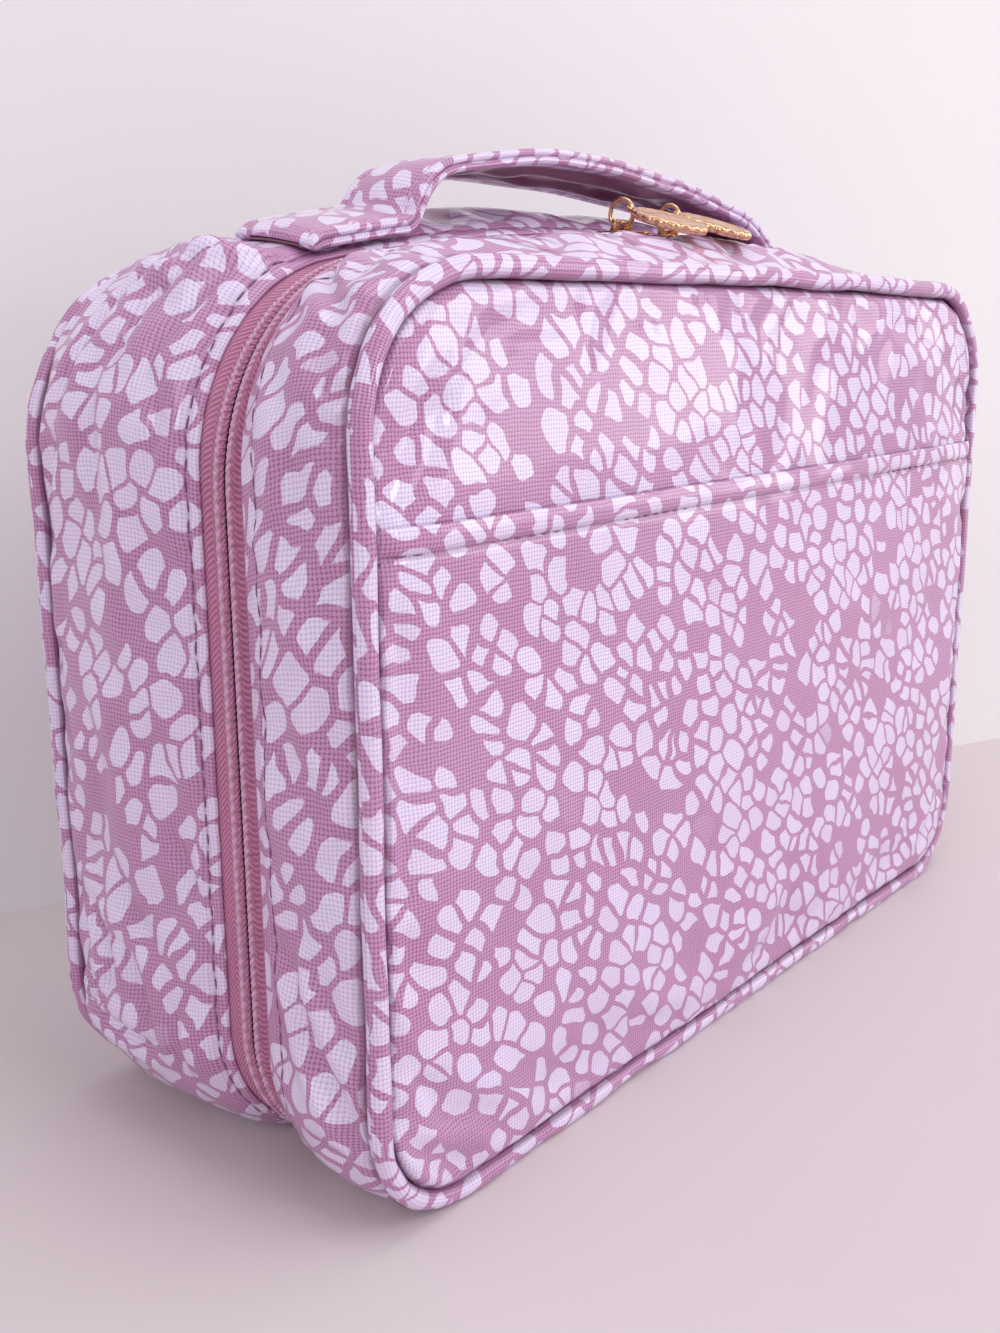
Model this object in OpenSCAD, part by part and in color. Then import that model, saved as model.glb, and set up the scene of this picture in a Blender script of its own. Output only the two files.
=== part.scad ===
// Soft makeup case: a padded canvas tray with a zip-around lid, a front slip
// pocket, a carrying strap on top and two zip sliders with round charms.
// Millimetres. +Z is up and the front faces -Y. The origin is on the surface
// that the case stands on, under the middle of the case.

/* [Case] */
// Width across the front seam
case_w = 262; // [240:1:290]
// Height of the top edge at the front seam
case_h = 181; // [160:1:200]
// Depth over the front and the back face
case_d = 100; // [90:1:120]
// Depth of the lid, from its front face to the middle of the zip
lid_d = 37; // [34:0.5:42]
// Top corner radius at the front seam
front_corner_r = 30; // [24:1:38]
// Top corner radius along the zip
zip_corner_r = 44; // [38:1:50]
// Top corner radius at the back seam
back_corner_r = 38; // [30:1:46]
// Bottom corner radius at the front seam, smaller where the case sits
front_foot_r = 24; // [20:1:30]
// Bottom corner radius along the zip
zip_foot_r = 34; // [28:1:38]
// Bottom corner radius at the back seam
back_foot_r = 28; // [22:1:34]

/* [Padding] */
// How far each side spreads between the front seam and the zip
zip_spread = 1.5; // [0.5:0.1:3]
// How far each side spreads between the front seam and the back seam
back_spread = 2.5; // [0.5:0.1:4]
// How far the top of the zip line stands above the front seam
zip_rise = 3; // [1:0.5:5]
// How far the back seam's top stands above the front seam
back_rise = 2.5; // [0:0.5:4]
// Swell of the lid's wall at the sides
lid_swell = 2; // [0.5:0.1:3]
// Swell of the rear wall at the sides
rear_swell = 3; // [1:0.1:5]
// Swell of the rear wall along the top
rear_top_swell = 3.5; // [1:0.1:5]
// Arch of the top edge along the zip
zip_arch = 7; // [4:0.5:9]
// Arch of the top edge at the back seam
back_arch = 3; // [2:0.5:5]
// Extra arch in the middle of the rear wall's top
rear_arch_swell = 4.5; // [1:0.5:6]
// How far the front and the back panel bulge past their edges
panel_dome = 1.8; // [0.5:0.1:3]
// Thickness of the padding in the walls
wall_foam_t = 4; // [3:0.1:5]
// Thickness of the padding behind the front and the back panel
panel_foam_t = 3.4; // [2.5:0.1:4]

/* [Cloth] */
// Thickness of the coated canvas with its folded backing
canvas_t = 1.2; // [0.8:0.1:1.5]
// Thickness of the lining
lining_t = 0.8; // [0.5:0.1:1]
// Space between two layers that are sewn together
layer_gap = 0.1; // [0.05:0.01:0.15]
// Diameter of the piping in both seams
piping_d = 4; // [3:0.1:5]
// Distance from either face to the middle of its piping
seam_set = 3.8; // [3.4:0.1:4.5]
// Width of the binding over the inner seams
binding_w = 3.5; // [2.5:0.1:5]
// Thickness of the binding over the inner seams
binding_t = 1.6; // [1:0.1:2]

/* [Pocket] */
// Height of the front pocket's mouth
pocket_h = 136; // [100:1:150]
// Depth of the folded hem along the mouth
hem_h = 7; // [4:0.5:12]
// Thickness that the fold adds
hem_t = 0.5; // [0.3:0.1:0.8]

/* [Zip] */
// Width of the open tape in front of the teeth's middle
tape_front = 5.5; // [5:0.1:7]
// Width of the open tape behind the teeth's middle
tape_rear = 6.5; // [5:0.1:8]
// Width of each tape that is hidden under the canvas
tape_hidden = 3; // [2:0.1:4]
// Thickness of the tape
tape_t = 0.6; // [0.4:0.1:0.8]
// Depth of the tape below the case's outline
tape_depth = 2.5; // [2.4:0.1:3]
// Width of one row of teeth
coil_w = 2.6; // [2:0.1:2.8]
// Height of the teeth over the tape
coil_h = 1.8; // [1.4:0.1:1.9]
// Space between the two rows of teeth
coil_split = 0.8; // [0.7:0.05:1]
// Distance from the middle of the bottom to each end of the zip
zip_end_x = 80; // [60:1:90]

/* [Sliders] */
// Length of a slider along the zip
slider_l = 11; // [9:0.5:13]
// Width of a slider across the zip
slider_w = 8.6; // [7.6:0.1:9]
// Thickness of a slider's two plates
plate_t = 1; // [0.8:0.1:1.2]
// Running gap between a slider and the zip
slider_gap = 0.3; // [0.25:0.05:0.4]
// Thickness of the post between the plates
post_t = 0.25; // [0.2:0.01:0.3]
// Place of the left slider's middle along the top
left_slider_x = -8; // [-40:1:-7]
// Place of the right slider's middle along the top
right_slider_x = 12; // [11:1:40]
// Outer diameter of a pull's ring
ring_d = 7.2; // [6.5:0.1:8]
// Diameter of the ring's wire
wire_d = 1.1; // [0.9:0.05:1.2]
// Diameter of the bar that the ring hangs on
bar_d = 0.9; // [0.8:0.05:1]
// Diameter of a charm
charm_d = 18.5; // [15:0.5:19]
// Thickness of a charm
charm_t = 2; // [1.6:0.1:2.2]
// Number of flutes round a charm's edge
flutes = 16; // [12:1:20]
// Slope of a resting charm towards the front
charm_slope = 3; // [0:0.5:4]

/* [Handle] */
// Width of the strap
strap_w = 25; // [20:1:28]
// Thickness of the folded strap
strap_t = 3.4; // [3:0.1:4]
// Distance from the zip's middle to the strap's front edge
strap_set = 5.5; // [5:0.1:7]
// Distance from the middle of the case to each end of the strap
strap_reach = 105; // [98:1:112]
// Length of strap sewn down at each end
sewn_l = 27; // [22:1:32]
// Height of the strap's highest point over the top of the case
handle_rise = 11.5; // [9:0.5:20]
// Place of the strap's highest point along the top
handle_peak_x = -20; // [-30:1:30]

/* [Hidden] */
$fn = 48;

canvas_pink = [0.80, 0.52, 0.66];
tape_pink = [0.72, 0.35, 0.52];
lining_plum = [0.55, 0.32, 0.44];
foam_white = [0.93, 0.92, 0.90];
gold = [0.85, 0.66, 0.38];

// Depth of the main planes
zip_y = lid_d - case_d / 2;
front_seam_y = seam_set - case_d / 2;
// The pocket lies over the front panel only, so the back seam sits nearer its face
pocket_t = canvas_t * 0.75;
back_seam_y = case_d / 2 - seam_set + pocket_t + layer_gap;
lid_edge_y = zip_y - tape_front;
rear_edge_y = zip_y + tape_rear;

// How many flat steps each stretch of the outline takes
arch_steps = 4;
corner_steps = 8;
foot_steps = 6;

// Height of the seams' lowest edge, and how far the padding presses below it
seam_lift = 0.5;
zip_lift = 0.3;
base_swell = 1.1;
front_arch = 1;
lid_arch_swell = 2;
lid_top_swell = 2;

function mix(a, b, t) = a + (b - a) * t;
function lid_t(y) = min(1, max(0, (y - front_seam_y) / (zip_y - front_seam_y)));
function rear_t(y) = min(1, max(0, (y - zip_y) / (back_seam_y - zip_y)));
// A value that runs from the front seam through the zip to the back seam
function along(y, front, middle, back) =
    y < zip_y ? mix(front, middle, lid_t(y)) : mix(middle, back, rear_t(y));
// A swell that is widest halfway between two seams
function swell(y, lid, rear) =
    y < zip_y ? lid * sin(180 * lid_t(y)) : rear * sin(180 * rear_t(y));

// The case's outline at depth y: half width, top corner radius, height of the
// top corners, arch between them, bottom corner radius and height of the base
function outline(y) = [
    case_w / 2 + along(y, 0, zip_spread, back_spread) + swell(y, lid_swell, rear_swell),
    along(y, front_corner_r, zip_corner_r, back_corner_r),
    case_h + along(y, 0, zip_rise, back_rise) + swell(y, lid_top_swell, rear_top_swell),
    along(y, front_arch, zip_arch, back_arch) + swell(y, lid_arch_swell, rear_arch_swell),
    along(y, front_foot_r, zip_foot_r, back_foot_r),
    along(y, seam_lift, zip_lift, seam_lift) - swell(y, base_swell, base_swell)
];
function corner_x(o) = o[0] - o[1];
// Radius of the arch that meets both top corners smoothly
function arch_r(o) = o[1] + (pow(corner_x(o), 2) + pow(o[3], 2)) / (2 * o[3]);
function arch_z(o) = o[2] + o[3] - arch_r(o);
function arch_angle(o) = atan2(corner_x(o), arch_r(o) - o[1] - o[3]);

// Right half of the outline, from the top middle to the bottom middle, or to
// the distance end_x from it
function half_rim(o, inset, end_x = 0) = let(
        turn = arch_angle(o),
        arch = [for (k = [0 : arch_steps - 1])
            let(a = turn * k / arch_steps)
            [(arch_r(o) - inset) * sin(a), arch_z(o) + (arch_r(o) - inset) * cos(a)]],
        corner = [for (k = [0 : corner_steps])
            let(a = mix(turn, 90, k / corner_steps))
            [corner_x(o) + (o[1] - inset) * sin(a), o[2] - o[1] + (o[1] - inset) * cos(a)]],
        foot = [for (k = [0 : foot_steps])
            let(a = 90 * k / foot_steps)
            [o[0] - o[4] + (o[4] - inset) * cos(a), o[5] + o[4] - (o[4] - inset) * sin(a)]])
    concat(arch, corner, foot, [[end_x, o[5] + inset]]);
// The whole outline, clockwise as seen from the front
function rim(o, inset) = let(half = half_rim(o, inset), n = len(half))
    concat(half, [for (k = [n - 2 : -1 : 1]) [-half[k][0], half[k][1]]]);
rim_n = len(rim(outline(zip_y), 0));

// A closed wall round the case; profile is a loop of [depth, inset] points.
// Nothing reaches below the surface that the case stands on. A point follows
// the outline at its own depth, unless its third value or path_y gives another.
// Outer and inner faces split the same way, so layers lie close on each other.
module band(profile, path_y = undef) {
    loops = [for (p = profile)
        [for (q = rim(outline(is_undef(path_y) ? (is_undef(p[2]) ? p[0] : p[2]) : path_y), p[1]))
            [q[0], p[0], max(0, q[1])]]];
    m = len(profile);
    polyhedron(
        points = [for (loop = loops) each loop],
        faces = [for (j = [0 : m - 1], s = [0 : rim_n - 1])
            let(a = j * rim_n + s, b = j * rim_n + (s + 1) % rim_n, next = (j + 1) % m,
                c = next * rim_n + (s + 1) % rim_n, d = next * rim_n + s)
            each profile[next][0] > profile[j][0] ? [[a, b, c], [a, c, d]]
                                                  : [[a, b, d], [b, c, d]]],
        convexity = 8);
}

// A domed sheet inside a seam: side is -1 at the front and +1 at the back, and
// low and high are its two faces' distances outwards from the seam's middle
module domed_sheet(side, low, high, inset, rings) {
    seam_y = side < 0 ? front_seam_y : back_seam_y;
    o = outline(seam_y);
    middle_z = (o[2] + o[5]) / 2;
    edge = rim(o, inset);
    n = len(rings);
    function face(distance) = [for (f = rings) each [for (q = edge)
        [q[0] * f, seam_y + side * (distance + panel_dome * (1 - f * f)),
         mix(middle_z, q[1], f)]]];
    outer = face(high);
    inner = face(low);
    count = n * rim_n;
    outer_top = 2 * count;
    inner_top = outer_top + 1;
    pts = concat(outer, inner,
        [[0, seam_y + side * (high + panel_dome), middle_z],
         [0, seam_y + side * (low + panel_dome), middle_z]]);
    function strip(start, k, flip) = [for (s = [0 : rim_n - 1])
        let(a = start + k * rim_n + s, b = start + k * rim_n + (s + 1) % rim_n,
            c = b + rim_n, d = a + rim_n)
        each flip ? [[a, c, b], [a, d, c]] : [[a, b, c], [a, c, d]]];
    function fan(start, tip, flip) = [for (s = [0 : rim_n - 1])
        let(a = start + (n - 1) * rim_n + s, b = start + (n - 1) * rim_n + (s + 1) % rim_n)
        flip ? [a, tip, b] : [a, b, tip]];
    wall = [for (s = [0 : rim_n - 1])
        let(a = s, b = (s + 1) % rim_n, c = b + count, d = a + count)
        each side > 0 ? [[a, b, c], [a, c, d]] : [[a, c, b], [a, d, c]]];
    polyhedron(points = pts, faces = concat(
        n > 1 ? [for (k = [0 : n - 2]) each strip(0, k, side > 0)] : [],
        n > 1 ? [for (k = [0 : n - 2]) each strip(count, k, side < 0)] : [],
        fan(0, outer_top, side > 0), fan(count, inner_top, side < 0), wall), convexity = 6);
}

// A strip that follows the zip and stops end_x from the middle of the bottom
module open_band(profile, end_x) {
    o = outline(zip_y);
    loops = [for (p = profile) let(half = half_rim(o, p[1], end_x), n = len(half))
        [for (k = [n - 1 : -1 : 1 - n]) [sign(k) * half[abs(k)][0], p[0], half[abs(k)][1]]]];
    m = len(profile);
    n = len(loops[0]);
    polyhedron(
        points = [for (loop = loops) each loop],
        faces = concat(
            [[for (j = [m - 1 : -1 : 0]) j * n]],
            [[for (j = [0 : m - 1]) j * n + n - 1]],
            [for (j = [0 : m - 1], s = [0 : n - 2])
                let(a = j * n + s, d = ((j + 1) % m) * n + s)
                each [[a, d, d + 1], [a, d + 1, a + 1]]]),
        convexity = 8);
}

// ---- walls ----------------------------------------------------------------

// The canvas dips this far where it runs into a seam or a zip edge
seam_dip = 1;
edge_dip = 1.2;
// Insets of the foam's and the lining's outer faces
foam_top = canvas_t + layer_gap;
lining_top = foam_top + wall_foam_t + layer_gap;
// Where the canvas, the foam and the lining stop short of the piping's middle
canvas_stop = piping_d / 2 + layer_gap;
foam_stop = canvas_stop + layer_gap + panel_foam_t - piping_d / 2 + seam_dip;
lining_stop = foam_stop + lining_t + layer_gap;
// Where they stop short of the canvas's edge along the zip
foam_edge = tape_hidden + 2;
lining_edge = 0.5;

// Depths at which every layer of a wall bends, from its first to its last edge
function stations(from, to, count) = [for (k = [0 : count]) mix(from, to, k / count)];
lid_steps = 3;
rear_steps = 4;
lid_depths = stations(front_seam_y + foam_stop, lid_edge_y - foam_edge, lid_steps);
rear_depths = stations(rear_edge_y + foam_edge, back_seam_y - foam_stop, rear_steps);

// A layer of one thickness through points of [depth, inset, outline's depth]
function layer(line, thickness) = concat(line,
    [for (k = [len(line) - 1 : -1 : 0]) [line[k][0], line[k][1] + thickness, line[k][2]]]);
function level(depths, inset) = [for (d = depths) [d, inset, d]];
// The lining's edge lies against the inside of the tape
function lining_end(y) = [y, tape_depth + tape_t + layer_gap, zip_y];
lining_hold = tape_hidden + layer_gap;

module front_gusset() {
    color(canvas_pink) band(layer(concat(
        [[front_seam_y + canvas_stop, seam_dip, front_seam_y + canvas_stop]],
        level(lid_depths, 0), [[lid_edge_y, edge_dip, lid_edge_y]]), canvas_t));
}

module rear_gusset() {
    color(canvas_pink) band(layer(concat([[rear_edge_y, edge_dip, rear_edge_y]],
        level(rear_depths, 0),
        [[back_seam_y - canvas_stop, seam_dip, back_seam_y - canvas_stop]]), canvas_t));
}

module front_gusset_foam() {
    color(foam_white) band(layer(level(lid_depths, foam_top), wall_foam_t));
}

module rear_gusset_foam() {
    color(foam_white) band(layer(level(rear_depths, foam_top), wall_foam_t));
}

module front_gusset_lining() {
    stop = lining_stop - foam_stop;
    color(lining_plum) band(layer(concat(level([lid_depths[0] + stop], lining_top),
        level([for (k = [1 : lid_steps]) lid_depths[k]], lining_top),
        [lining_end(lid_edge_y - lining_hold), lining_end(lid_edge_y - lining_edge)]), lining_t));
}

module rear_gusset_lining() {
    stop = lining_stop - foam_stop;
    color(lining_plum) band(layer(concat(
        [lining_end(rear_edge_y + lining_edge), lining_end(rear_edge_y + lining_hold)],
        level([for (k = [0 : rear_steps - 1]) rear_depths[k]], lining_top),
        level([rear_depths[rear_steps] - stop], lining_top)), lining_t));
}

// ---- panels ---------------------------------------------------------------

// Insets of what lies inside the piping, and distances out from the seam
piping_proud = 0.4;
piping_inset = piping_d / 2 - piping_proud;
panel_inset = piping_inset + piping_d / 2 + layer_gap;
panel_out = seam_set - panel_dome - pocket_t - layer_gap;
panel_in = panel_out - canvas_t;
fine_rings = [1, 0.8, 0.45];
plain_rings = [1, 0.6];
hem_rings = [1, 0.62];

piping_sides = 8;
module piping(y) {
    band([for (k = [0 : piping_sides - 1]) let(a = 360 * k / piping_sides)
        [y + piping_d / 2 * cos(a), piping_inset + piping_d / 2 * sin(a)]], y);
}

module front_piping() { color(canvas_pink) piping(front_seam_y); }
module back_piping() { color(canvas_pink) piping(back_seam_y); }

module front_panel() {
    color(canvas_pink) domed_sheet(-1, panel_in, panel_out, panel_inset, fine_rings);
}

module back_panel() {
    color(canvas_pink) domed_sheet(1, panel_in, panel_out, panel_inset, fine_rings);
}

module panel_foam(side) {
    domed_sheet(side, panel_in - layer_gap - panel_foam_t, panel_in - layer_gap,
        panel_inset + layer_gap, plain_rings);
}

module front_panel_foam() { color(foam_white) panel_foam(-1); }
module back_panel_foam() { color(foam_white) panel_foam(1); }

module panel_lining(side) {
    lining_high = panel_in - 2 * layer_gap - panel_foam_t;
    domed_sheet(side, lining_high - lining_t, lining_high, panel_inset + lining_t, plain_rings);
}

module front_panel_lining() { color(lining_plum) panel_lining(-1); }
module back_panel_lining() { color(lining_plum) panel_lining(1); }

// A tape folded over the inner seam, round where it is folded
module binding(y) {
    near = lining_top + lining_t + binding_gap;
    far = near + binding_w;
    e = binding_t / 2;
    band([[y - e, near], [y + e, near], [y + e, far - e / 2], [y + e / 2, far],
        [y - e / 2, far], [y - e, far - e / 2]], y);
}

binding_gap = 0.4;
binding_set = lining_stop + binding_t / 2 + layer_gap;
module front_binding() { color(tape_pink) binding(front_seam_y + binding_set); }
module back_binding() { color(tape_pink) binding(back_seam_y - binding_set); }

module front_pocket() {
    pocket_out = panel_out + layer_gap + pocket_t;
    color(canvas_pink) intersection() {
        union() {
            domed_sheet(-1, panel_out + layer_gap, pocket_out, panel_inset, fine_rings);
            intersection() {
                domed_sheet(-1, panel_out + 2 * layer_gap, pocket_out + hem_t,
                    panel_inset + hem_t, hem_rings);
                translate([-case_w, -case_d, pocket_h - hem_h])
                    cube([2 * case_w, 2 * case_d, hem_h]);
            }
        }
        translate([-case_w, -case_d, 0]) cube([2 * case_w, 2 * case_d, pocket_h]);
    }
}

// ---- zip and hinge --------------------------------------------------------

// One tape: side is -1 on the lid and +1 on the rear part
module zip_tape(side) {
    near = zip_y + side * coil_split / 2;
    far = zip_y + side * ((side < 0 ? tape_front : tape_rear) + tape_hidden);
    low = min(near, far);
    high = max(near, far);
    open_band([[low, tape_depth], [high, tape_depth], [high, tape_depth + tape_t],
        [low, tape_depth + tape_t]], zip_end_x);
}

// One row of teeth, round on top above straight sides
coil_side = 0.45;
module zip_coil(side) {
    middle = zip_y + side * (coil_split / 2 + coil_w / 2);
    shoulder = coil_h * coil_side;
    open_band(concat([for (a = [180 : -45 : 0])
        [middle + coil_w / 2 * cos(a), tape_depth - shoulder - (coil_h - shoulder) * sin(a)]],
        [[middle + coil_w / 2, tape_depth], [middle - coil_w / 2, tape_depth]]), zip_end_x);
}

module front_zip_tape() { color(tape_pink) zip_tape(-1); }
module rear_zip_tape() { color(tape_pink) zip_tape(1); }
module front_zip_coil() { color(tape_pink) zip_coil(-1); }
module rear_zip_coil() { color(tape_pink) zip_coil(1); }

// The strip of canvas between the zip's two ends that the lid folds on
hinge_gap = 0.5;
module bottom_hinge() {
    color(canvas_pink)
        translate([hinge_gap - zip_end_x, lid_edge_y + hinge_gap, seam_lift])
            cube([2 * (zip_end_x - hinge_gap), rear_edge_y - lid_edge_y - 2 * hinge_gap, canvas_t]);
}

// ---- sliders and pulls ----------------------------------------------------

zip_outline = outline(zip_y);
// The top of the zip is an arc, and the sliders run round its centre
run_r = arch_r(zip_outline);
run_z = arch_z(zip_outline);
plate_low = -tape_depth + coil_h + slider_gap;
plate_high = plate_low + plate_t;
floor_high = -tape_depth - tape_t - slider_gap;
bar_out = plate_high + slider_gap + wire_d + slider_gap + bar_d / 2;

// Puts a piece at x along the zip's top, upright on the arc
module on_zip(x) {
    translate([0, zip_y, run_z]) rotate([0, asin(x / run_r), 0]) translate([0, 0, run_r])
        children();
}

// A slider's plate: a waisted shape, wide where the two rows part
shoulder_r = 1.4;
tail_r = 1.6;
waist = 0.8;
module slider_plate(thickness) {
    linear_extrude(thickness) hull() for (s = [-1, 1]) {
        translate([slider_l / 2 - shoulder_r, s * (slider_w / 2 - shoulder_r)])
            circle(r = shoulder_r);
        translate([tail_r - slider_l / 2, s * (slider_w / 2 - waist - tail_r)])
            circle(r = tail_r);
    }
}

// The post between the plates lies in the wide end, and the ears carry the bar
post_l = 2.4;
ear_t = 1;
ear_w = 2.4;
ear_wall = 0.15;
bar_span = 0.62;

// dir is +1 where the wide end faces +X
module slider(dir) {
    bar_l = slider_l * bar_span;
    plate_set = floor_high - plate_t;
    scale([dir, 1, 1]) {
        translate([0, 0, plate_low]) slider_plate(plate_t);
        translate([0, 0, plate_set]) slider_plate(plate_t);
        translate([slider_l / 2 - post_l - plate_t / 2, -post_t, plate_set + plate_t / 2])
            cube([post_l, 2 * post_t, plate_low - plate_set]);
        for (end = [-1, 1])
            translate([end * (bar_l - ear_t) / 2 - ear_t / 2, 0, 0]) hull() {
                translate([0, -ear_w / 2, plate_high - plate_t / 2])
                    cube([ear_t, ear_w, plate_t / 2]);
                translate([0, 0, bar_out]) rotate([0, 90, 0])
                    cylinder(d = bar_d + 2 * ear_wall, h = ear_t);
            }
        translate([-bar_l / 2, 0, bar_out]) rotate([0, 90, 0]) cylinder(d = bar_d, h = bar_l);
    }
}

module left_slider() { color(gold) on_zip(left_slider_x) slider(1); }
module right_slider() { color(gold) on_zip(right_slider_x) slider(-1); }

wire_path_r = ring_d / 2 - wire_d / 2;
ring_out = plate_high + slider_gap + ring_d / 2;
// Where the charm's eye hangs on the ring, as an angle below its middle
eye_angle = 35;
eye_hole_r = 1.3;
eye_slack = 0.1;
eye_wall = 0.7;
eye_t = 1;
eye_y = -wire_path_r * cos(eye_angle) - eye_slack;
eye_out = ring_out - wire_path_r * sin(eye_angle);
charm_y = eye_y - eye_hole_r - charm_d / 2;

module ring() {
    translate([0, 0, ring_out]) rotate([0, 90, 0])
        rotate_extrude() translate([wire_path_r, 0]) circle(d = wire_d);
}

// A fluted disc with a raised rim and a round boss, and an eye for the ring
charm_rim_w = 1.5;
charm_edge = 0.4;
charm_relief = 0.35;
boss_r = 3.7;
flute_r = 1;
module charm() {
    r = charm_d / 2;
    top = charm_t / 2;
    floor_z = top - charm_relief;
    translate([0, 0, ring_out]) rotate([charm_slope, 0, 0]) translate([0, 0, eye_out - ring_out])
    difference() {
        union() {
            translate([0, charm_y, 0]) rotate_extrude() polygon([
                [0, -top], [r - charm_edge, -top], [r, charm_edge - top], [r, top - charm_edge],
                [r - charm_edge, top], [r - charm_rim_w, top],
                [r - charm_rim_w - charm_relief, floor_z], [boss_r + charm_relief, floor_z],
                [boss_r, top], [0, top]]);
            translate([0, eye_y, -eye_t / 2]) cylinder(r = eye_hole_r + eye_wall, h = eye_t);
        }
        translate([0, eye_y, -charm_t]) cylinder(r = eye_hole_r, h = 2 * charm_t);
        for (k = [1 : flutes - 1])
            translate([0, charm_y, -charm_t]) rotate(90 + 360 * k / flutes)
                translate([r + flute_r / 2, 0]) cylinder(r = flute_r, h = 2 * charm_t);
    }
}

module left_ring() { color(gold) on_zip(left_slider_x) ring(); }
module right_ring() { color(gold) on_zip(right_slider_x) ring(); }
module left_charm() { color(gold) on_zip(left_slider_x) charm(); }
module right_charm() { color(gold) on_zip(right_slider_x) charm(); }

// ---- carrying strap -------------------------------------------------------

strap_y = zip_y + strap_set + strap_w / 2;
strap_gap = 0.3;
// Half the step over which the top's slope is taken
slope_step = 0.5;
lift_x = strap_reach - sewn_l;

// Height of the case's top at x and depth y
function top_z(x, y) = let(o = outline(y), edge = arch_r(o) * sin(arch_angle(o)))
    abs(x) < edge ? arch_z(o) + sqrt(pow(arch_r(o), 2) - x * x)
                  : o[2] - o[1] + sqrt(pow(o[1], 2) - pow(abs(x) - corner_x(o), 2));
function sewn_z(x) = top_z(x, strap_y) + strap_gap;
function slope_at(x) =
    atan2(sewn_z(x - slope_step) - sewn_z(x + slope_step), 2 * slope_step);
peak_z = top_z(0, strap_y) + handle_rise;

// One side of the free strap, from the peak outwards: a long arc, a round
// shoulder, a straight fall and a small arc back onto the case. Each point is
// [distance from the peak, height, slope], and shoulder is [radius, slope].
top_turn = 10;
heel_r = 6;
top_steps = 4;
shoulder_steps = 4;
heel_steps = 3;
function strap_side(reach, drop, shoulder, end_slope) = let(
        r = shoulder[0], fall = shoulder[1],
        width = reach - heel_r * (sin(fall) - sin(end_slope)) - r * (sin(fall) - sin(top_turn)),
        height = drop - heel_r * (cos(end_slope) - cos(fall)) - r * (cos(top_turn) - cos(fall)),
        det = cos(fall) * (1 - cos(top_turn)) - sin(fall) * sin(top_turn),
        straight = (width * (1 - cos(top_turn)) - height * sin(top_turn)) / det,
        top_r = (cos(fall) * height - sin(fall) * width) / det,
        x1 = top_r * sin(top_turn), z1 = -top_r * (1 - cos(top_turn)),
        x2 = x1 + r * (sin(fall) - sin(top_turn)), z2 = z1 - r * (cos(top_turn) - cos(fall)),
        x3 = x2 + straight * cos(fall), z3 = z2 - straight * sin(fall))
    concat(
        [for (k = [1 : top_steps]) let(a = top_turn * k / top_steps)
            [top_r * sin(a), -top_r * (1 - cos(a)), a]],
        [for (k = [1 : shoulder_steps]) let(a = mix(top_turn, fall, k / shoulder_steps))
            [x1 + r * (sin(a) - sin(top_turn)), z1 - r * (cos(top_turn) - cos(a)), a]],
        [for (k = [0 : heel_steps]) let(a = mix(fall, end_slope, k / heel_steps))
            [x3 + heel_r * (sin(fall) - sin(a)), z3 - heel_r * (cos(a) - cos(fall)), a]]);

left_shoulder = [14, 58];
right_shoulder = [40, 36];
left_side = strap_side(lift_x + handle_peak_x, peak_z - sewn_z(lift_x), left_shoulder,
    slope_at(lift_x));
right_side = strap_side(lift_x - handle_peak_x, peak_z - sewn_z(lift_x), right_shoulder,
    slope_at(lift_x));
sewn_steps = 4;
sewn = [for (k = [1 : sewn_steps]) let(x = lift_x + sewn_l * k / sewn_steps)
    [x, sewn_z(x), slope_at(x)]];

// The whole run from left to right: [x, height of the underside, slope, how
// closely the strap follows the swell of the case]
strap_run = concat(
    [for (k = [sewn_steps - 1 : -1 : 0]) [-sewn[k][0], sewn[k][1], -sewn[k][2], 1]],
    [for (k = [len(left_side) - 1 : -1 : 0]) [handle_peak_x - left_side[k][0],
        peak_z + left_side[k][1], -left_side[k][2], k / (len(left_side) - 1)]],
    [[handle_peak_x, peak_z, 0, 0]],
    [for (k = [0 : len(right_side) - 1]) [handle_peak_x + right_side[k][0],
        peak_z + right_side[k][1], right_side[k][2], k / (len(right_side) - 1)]],
    [for (k = [0 : sewn_steps - 1]) [sewn[k][0], sewn[k][1], sewn[k][2], 1]]);

// Carries a closed section of [across, up] points along the strap
module along_strap(section) {
    n = len(section);
    last = len(strap_run) - 1;
    pts = [for (s = strap_run) each [for (q = section) let(
            follow = pow(s[3], 2) * (top_z(s[0], strap_y + q[0]) - top_z(s[0], strap_y)))
        [s[0] + q[1] * sin(s[2]), strap_y + q[0], s[1] + q[1] * cos(s[2]) + follow]]];
    polyhedron(points = pts, faces = concat(
        [[for (k = [0 : n - 1]) k]],
        [[for (k = [n - 1 : -1 : 0]) last * n + k]],
        [for (s = [0 : last - 1], k = [0 : n - 1])
            let(next = (k + 1) % n, a = s * n + k, b = s * n + next)
            each section[next][0] > section[k][0] ? [[a, a + n, b + n], [a, b + n, b]]
                                                  : [[a, a + n, b], [b, a + n, b + n]]]),
        convexity = 8);
}

// The canvas goes over the top of the strap and is folded under both edges
fold_under = 4;
strap_edge = 0.8;
backing_e = strap_w / 2 - fold_under - layer_gap;
module handle_strap() {
    e = strap_w / 2;
    t = canvas_t;
    r = strap_edge;
    right = [[e - fold_under, 0], [e - r, 0], [e, r], [e, strap_t - r], [e - r, strap_t]];
    inner = [[e - t, strap_t - t], [e - t, t], [e - fold_under, t]];
    outer_left = [for (k = [4 : -1 : 0]) [-right[k][0], right[k][1]]];
    inner_left = [for (k = [2 : -1 : 0]) [-inner[k][0], inner[k][1]]];
    color(canvas_pink) along_strap(concat(right, outer_left, inner_left, inner));
}

module handle_core() {
    e = strap_w / 2 - canvas_t - layer_gap;
    low = canvas_t + layer_gap;
    high = strap_t - canvas_t - layer_gap;
    color(foam_white) along_strap([[-e, low], [-backing_e, low], [backing_e, low], [e, low],
        [e, high], [-e, high]]);
}

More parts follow.
